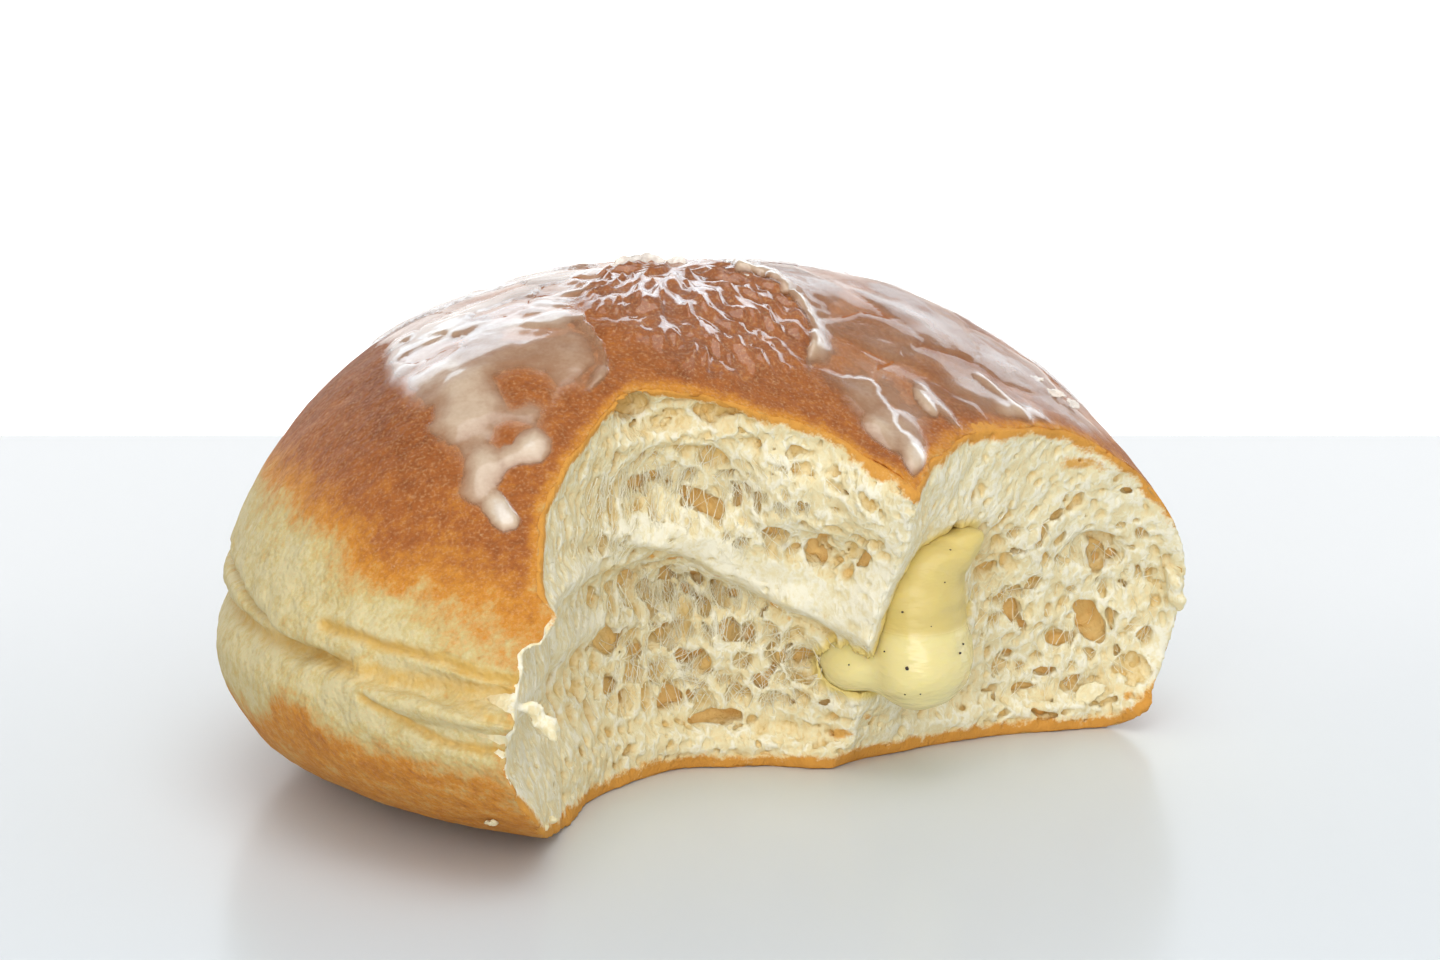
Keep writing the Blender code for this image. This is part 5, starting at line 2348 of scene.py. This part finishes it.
@dataclass(frozen=True)
class SmallBits:
    """The loose flakes of glaze, the fragments of dough and the specks in the custard."""

    flakes: tuple[Flake, ...] = (
        Flake((-8.8, 5.8, 44.2), (-0.3, -0.9, 0.3), 10.0, 3.0, 1.7, 0.1),
        Flake((-6.8, 6.0, 44.4), (0.3, -0.85, 0.35), -16.0, 2.8, 1.5, 0.14),
        Flake((-4.9, 5.6, 44.15), (0.2, -0.8, 0.5), 20.0, 2.4, 1.4, 0.16),
        Flake((-10.6, 3.8, 43.9), (-0.2, -0.5, 0.85), 15.0, 1.8, 0.9, 0.15),
        Flake((1.6, 2.6, 43.5), (0.3, -0.5, 0.8), 10.0, 1.8, 0.9, 0.2),
        Flake((29.1, 6.4, 32.5), (0.2, -0.7, 0.7), -20.0, 1.7, 0.8, 0.2),
        Flake((30.6, 6.8, 31.5), (0.5, -0.6, 0.6), -40.0, 1.3, 0.8, 0.2),
        Flake((27.4, 7.4, 33.6), (0.2, -0.6, 0.75), -15.0, 1.4, 0.6, 0.2),
    )
    scraps: tuple[Flake | Lump, ...] = (
        Flake((33.1, 11.3, 3.7), (-0.1, -0.9, 0.25), 25.0, 3.0, 1.7, 0.12, 0.3),
        Flake((-19.2, -34.4, 5.1), (-0.25, -0.5, -0.82), 20.0, 1.3, 0.8, -0.1, 0.25),
        Lump((-15.2, -31.6, 3.9), (0.55, 0.4, 0.35), 0.4),
        Lump((-14.4, -30.8, 4.3), (0.35, 0.3, 0.3), 0.4),
    )
    specks: tuple[Place, ...] = (
        (15.3, 11.5, 0.17), (20.3, 12.9, 0.1), (20.0, 12.3, 0.12), (15.2, 9.0, 0.1), (16.5, 9.1, 0.08),
        (14.9, 16.3, 0.1), (19.1, 21.2, 0.1), (13.4, 12.6, 0.08), (18.6, 18.6, 0.07), (17.4, 15.0, 0.06),
        (10.4, 11.0, 0.08),
    )
    speck_depths: Pair = (-14.0, 4.0)

    def specks_in_custard(self) -> tuple[Lump, ...]:
        """The specks, each set into the front of the custard.

        Returns:
            The specks.
        """
        depths = np.linspace(*self.speck_depths, 600)
        lumps = []
        for x, z, radius in self.specks:
            outside = custard_outside(np.full(600, x), depths, np.full(600, z))
            y = float(depths[int(np.argmax(outside < 0.0))])
            lumps.append(Lump((x, y - 0.05, z), (radius, 0.6 * radius, radius), 0.3, 2))
        return tuple(lumps)

    def build(self, glaze: Material, crumb: Material, dark: Material) -> None:
        """Builds each kind of bit as one piece.

        Args:
            glaze: the glaze's finish, for the flakes.
            crumb: the crumb's finish, for the scraps.
            dark: the specks' finish.
        """
        flakes = gather("glaze_flakes", self.flakes, 300)
        carry_same(flakes, body=1.15)
        settle(flakes, glaze, "dough")
        scraps = gather("crumb_scraps", self.scraps, 330)
        carry_same(scraps, skin=4.0, hollow=0.12, airy=0.3)
        settle(scraps, crumb, "dough")
        specks = gather("custard_specks", self.specks_in_custard(), 360)
        settle(specks, dark, "custard")


# ---- studio


@dataclass(frozen=True)
class Studio:
    """A pale table with a white backdrop, soft light and the camera."""

    elevation: float = 12.0
    distance: float = 0.351
    lens: float = 100.0
    target: Place = (-0.8, 0.0, 26.0)
    table_back: float = 0.148
    table_gap: float = 0.00002
    panel: Pair = (0.45, 1.22)
    panel_glow: float = 3.5
    panel_colour: Colour = (0.78, 0.91, 1.0)
    backdrop_glow: float = 1.08
    table_colour: Colour = (0.70, 0.738, 0.765)
    # painted light: the glow of the table's far part
    table_far_glow: Colour = (0.065, 0.058, 0.052)
    world_strength: float = 0.42

    def material(self, name: str, colour: Colour, roughness: float, glow: float) -> Material:
        """A plain finish, which may shine with its own light.

        Args:
            name: its name.
            colour: its colour and the light's.
            roughness: how dull it is.
            glow: how strongly it shines.

        Returns:
            The material.
        """
        material = bpy.data.materials.new(name)
        material.use_nodes = True
        shader = material.node_tree.nodes["Principled BSDF"]
        shader.inputs["Base Color"].default_value = (*colour, 1.0)
        shader.inputs["Roughness"].default_value = roughness
        shader.inputs["IOR"].default_value = 1.15
        shader.inputs["Emission Color"].default_value = (*colour, 1.0)
        shader.inputs["Emission Strength"].default_value = glow
        return material

    def table(self) -> None:
        """The table, whose far part glows with painted light, and behind it the backdrop and the bright panel
        that the wet parts mirror.
        """
        material = self.material("table", self.table_colour, 0.2, 1.0)
        graph = Graph(material.node_tree)
        # painted light: the table's far part glows, more towards the back, for the brightening near the
        # horizon
        back = graph.add("SeparateXYZ", {0: graph.places()}).outputs["Y"]
        pale = graph.blend(graph.rise(back, 0.0, 0.085), BLACK, self.table_far_glow)
        graph.link(pale, graph.tree.nodes["Principled BSDF"], "Emission Color")
        self.board("table", (0.0, self.table_back - 1.0, -self.table_gap), (6.0, 2.0), 0.0, material)
        self.upright("backdrop", 1.1, (-0.5, self.panel[1]), 5.0, self.backdrop_glow, WHITE)
        panel = self.upright("panel", 1.06, self.panel, 3.2, self.panel_glow, self.panel_colour)
        panel.visible_diffuse = False  # it makes reflections and gives no other light

    def upright(
        self, name: str, back: float, heights: Pair, width: float, glow: float, colour: Colour
    ) -> Object:
        """Adds a shining wall that faces the front, from one height to another.

        Args:
            name: its name.
            back: how far behind the doughnut it is.
            heights: its lower and upper edge.
            width: its width.
            glow: how strongly it shines.
            colour: its colour.

        Returns:
            The wall.
        """
        low, high = heights
        place, size = (0.0, back, (low + high) / 2.0), (width, high - low)
        return self.board(name, place, size, math.pi / 2.0, self.material(name, colour, 0.9, glow))

    def board(self, name: str, place: Place, size: Pair, tilt: float, material: Material) -> Object:
        """Adds a flat board to the studio.

        Args:
            name: its name.
            place: its middle.
            size: its width and its depth or height.
            tilt: how far it is turned up from level, in radians.
            material: its finish.

        Returns:
            The board.
        """
        deselect_all()
        bpy.ops.mesh.primitive_plane_add(size=1.0, location=place, rotation=(tilt, 0.0, 0.0))
        board = bpy.context.object
        board.name = name
        board.scale = (*size, 1.0)
        bpy.ops.object.transform_apply(location=True, rotation=True, scale=True)
        board.data.materials.append(material)
        return board

    def lamp(self, name: str, place: Place, size: float, power: float) -> None:
        """A square soft light that faces the doughnut.

        Args:
            name: its name.
            place: where it is.
            size: the length of its sides.
            power: its power in watts.
        """
        deselect_all()
        bpy.ops.object.light_add(type="AREA", location=place)
        lamp = bpy.context.object
        lamp.name = name
        lamp.data.size = size
        lamp.data.energy = power
        lamp.rotation_euler = (Vector((0.0, 0.0, 0.02)) - lamp.location).to_track_quat("-Z", "Y").to_euler()

    def camera(self) -> None:
        """The camera, a little above the table and in front."""
        tilt = math.radians(self.elevation)
        target = (np.array(self.target) - ORIGIN) * MM
        away = np.array((0.0, -math.cos(tilt), math.sin(tilt))) * self.distance
        deselect_all()
        bpy.ops.object.camera_add(location=target + away, rotation=(math.pi / 2.0 - tilt, 0.0, 0.0))
        camera = bpy.context.object
        camera.data.lens = self.lens
        camera.data.sensor_width = 36.0
        camera.data.clip_start = 0.01
        bpy.context.scene.camera = camera

    def build(self) -> None:
        """Sets up the whole studio."""
        self.table()
        self.camera()
        self.lamp("top_light", (0.05, -0.25, 0.80), 0.6, 2.0)
        self.lamp("front_light", (0.05, -0.85, 0.50), 1.2, 3.8)
        self.lamp("fill_light", (-0.02, -0.95, 0.15), 0.8, 5.2)
        world = bpy.data.worlds.new("studio")
        world.use_nodes = True
        background = world.node_tree.nodes["Background"]
        background.inputs["Color"].default_value = (*WHITE, 1.0)
        background.inputs["Strength"].default_value = self.world_strength
        bpy.context.scene.world = world
        bpy.context.scene.view_settings.view_transform = "Standard"


def main() -> None:
    """Builds every piece of the doughnut and the studio around it."""
    logging.basicConfig(level=logging.INFO, format="%(relativeCreated)6d ms %(message)s")
    group = mottle_group()
    crumb_material = CrumbFinish("crumb", roughness=0.8, gloss=0.15).material(group)
    crust_material = CrustFinish(
        "crust", roughness=0.6, gloss=0.07, coat_roughness=0.06, coat_index=1.6
    ).material(group)
    custard_material = CustardFinish(
        "custard", roughness=0.16, glow=0.5, glow_depth=(1.0, 0.8, 0.3)
    ).material(group)
    glaze_material = GlazeFinish(
        "glaze", roughness=0.3, gloss=0.4, coat=1.0, coat_index=1.65
    ).material(group)
    crust = Crust()
    crumb = Crumb(crust)
    crumb.build(crumb_material)
    Threads(crumb).build(crumb_material)
    crust.build(crumb, crust_material)
    Glaze().build(crust, crumb, glaze_material)
    Custard().build(custard_material)
    dark = PlainFinish("specks", roughness=0.6, light=(0.06, 0.035, 0.02), dark=(0.03, 0.02, 0.015))
    SmallBits().build(glaze_material, crumb_material, dark.material(group))
    Studio().build()


if __name__ == "__main__":
    main()
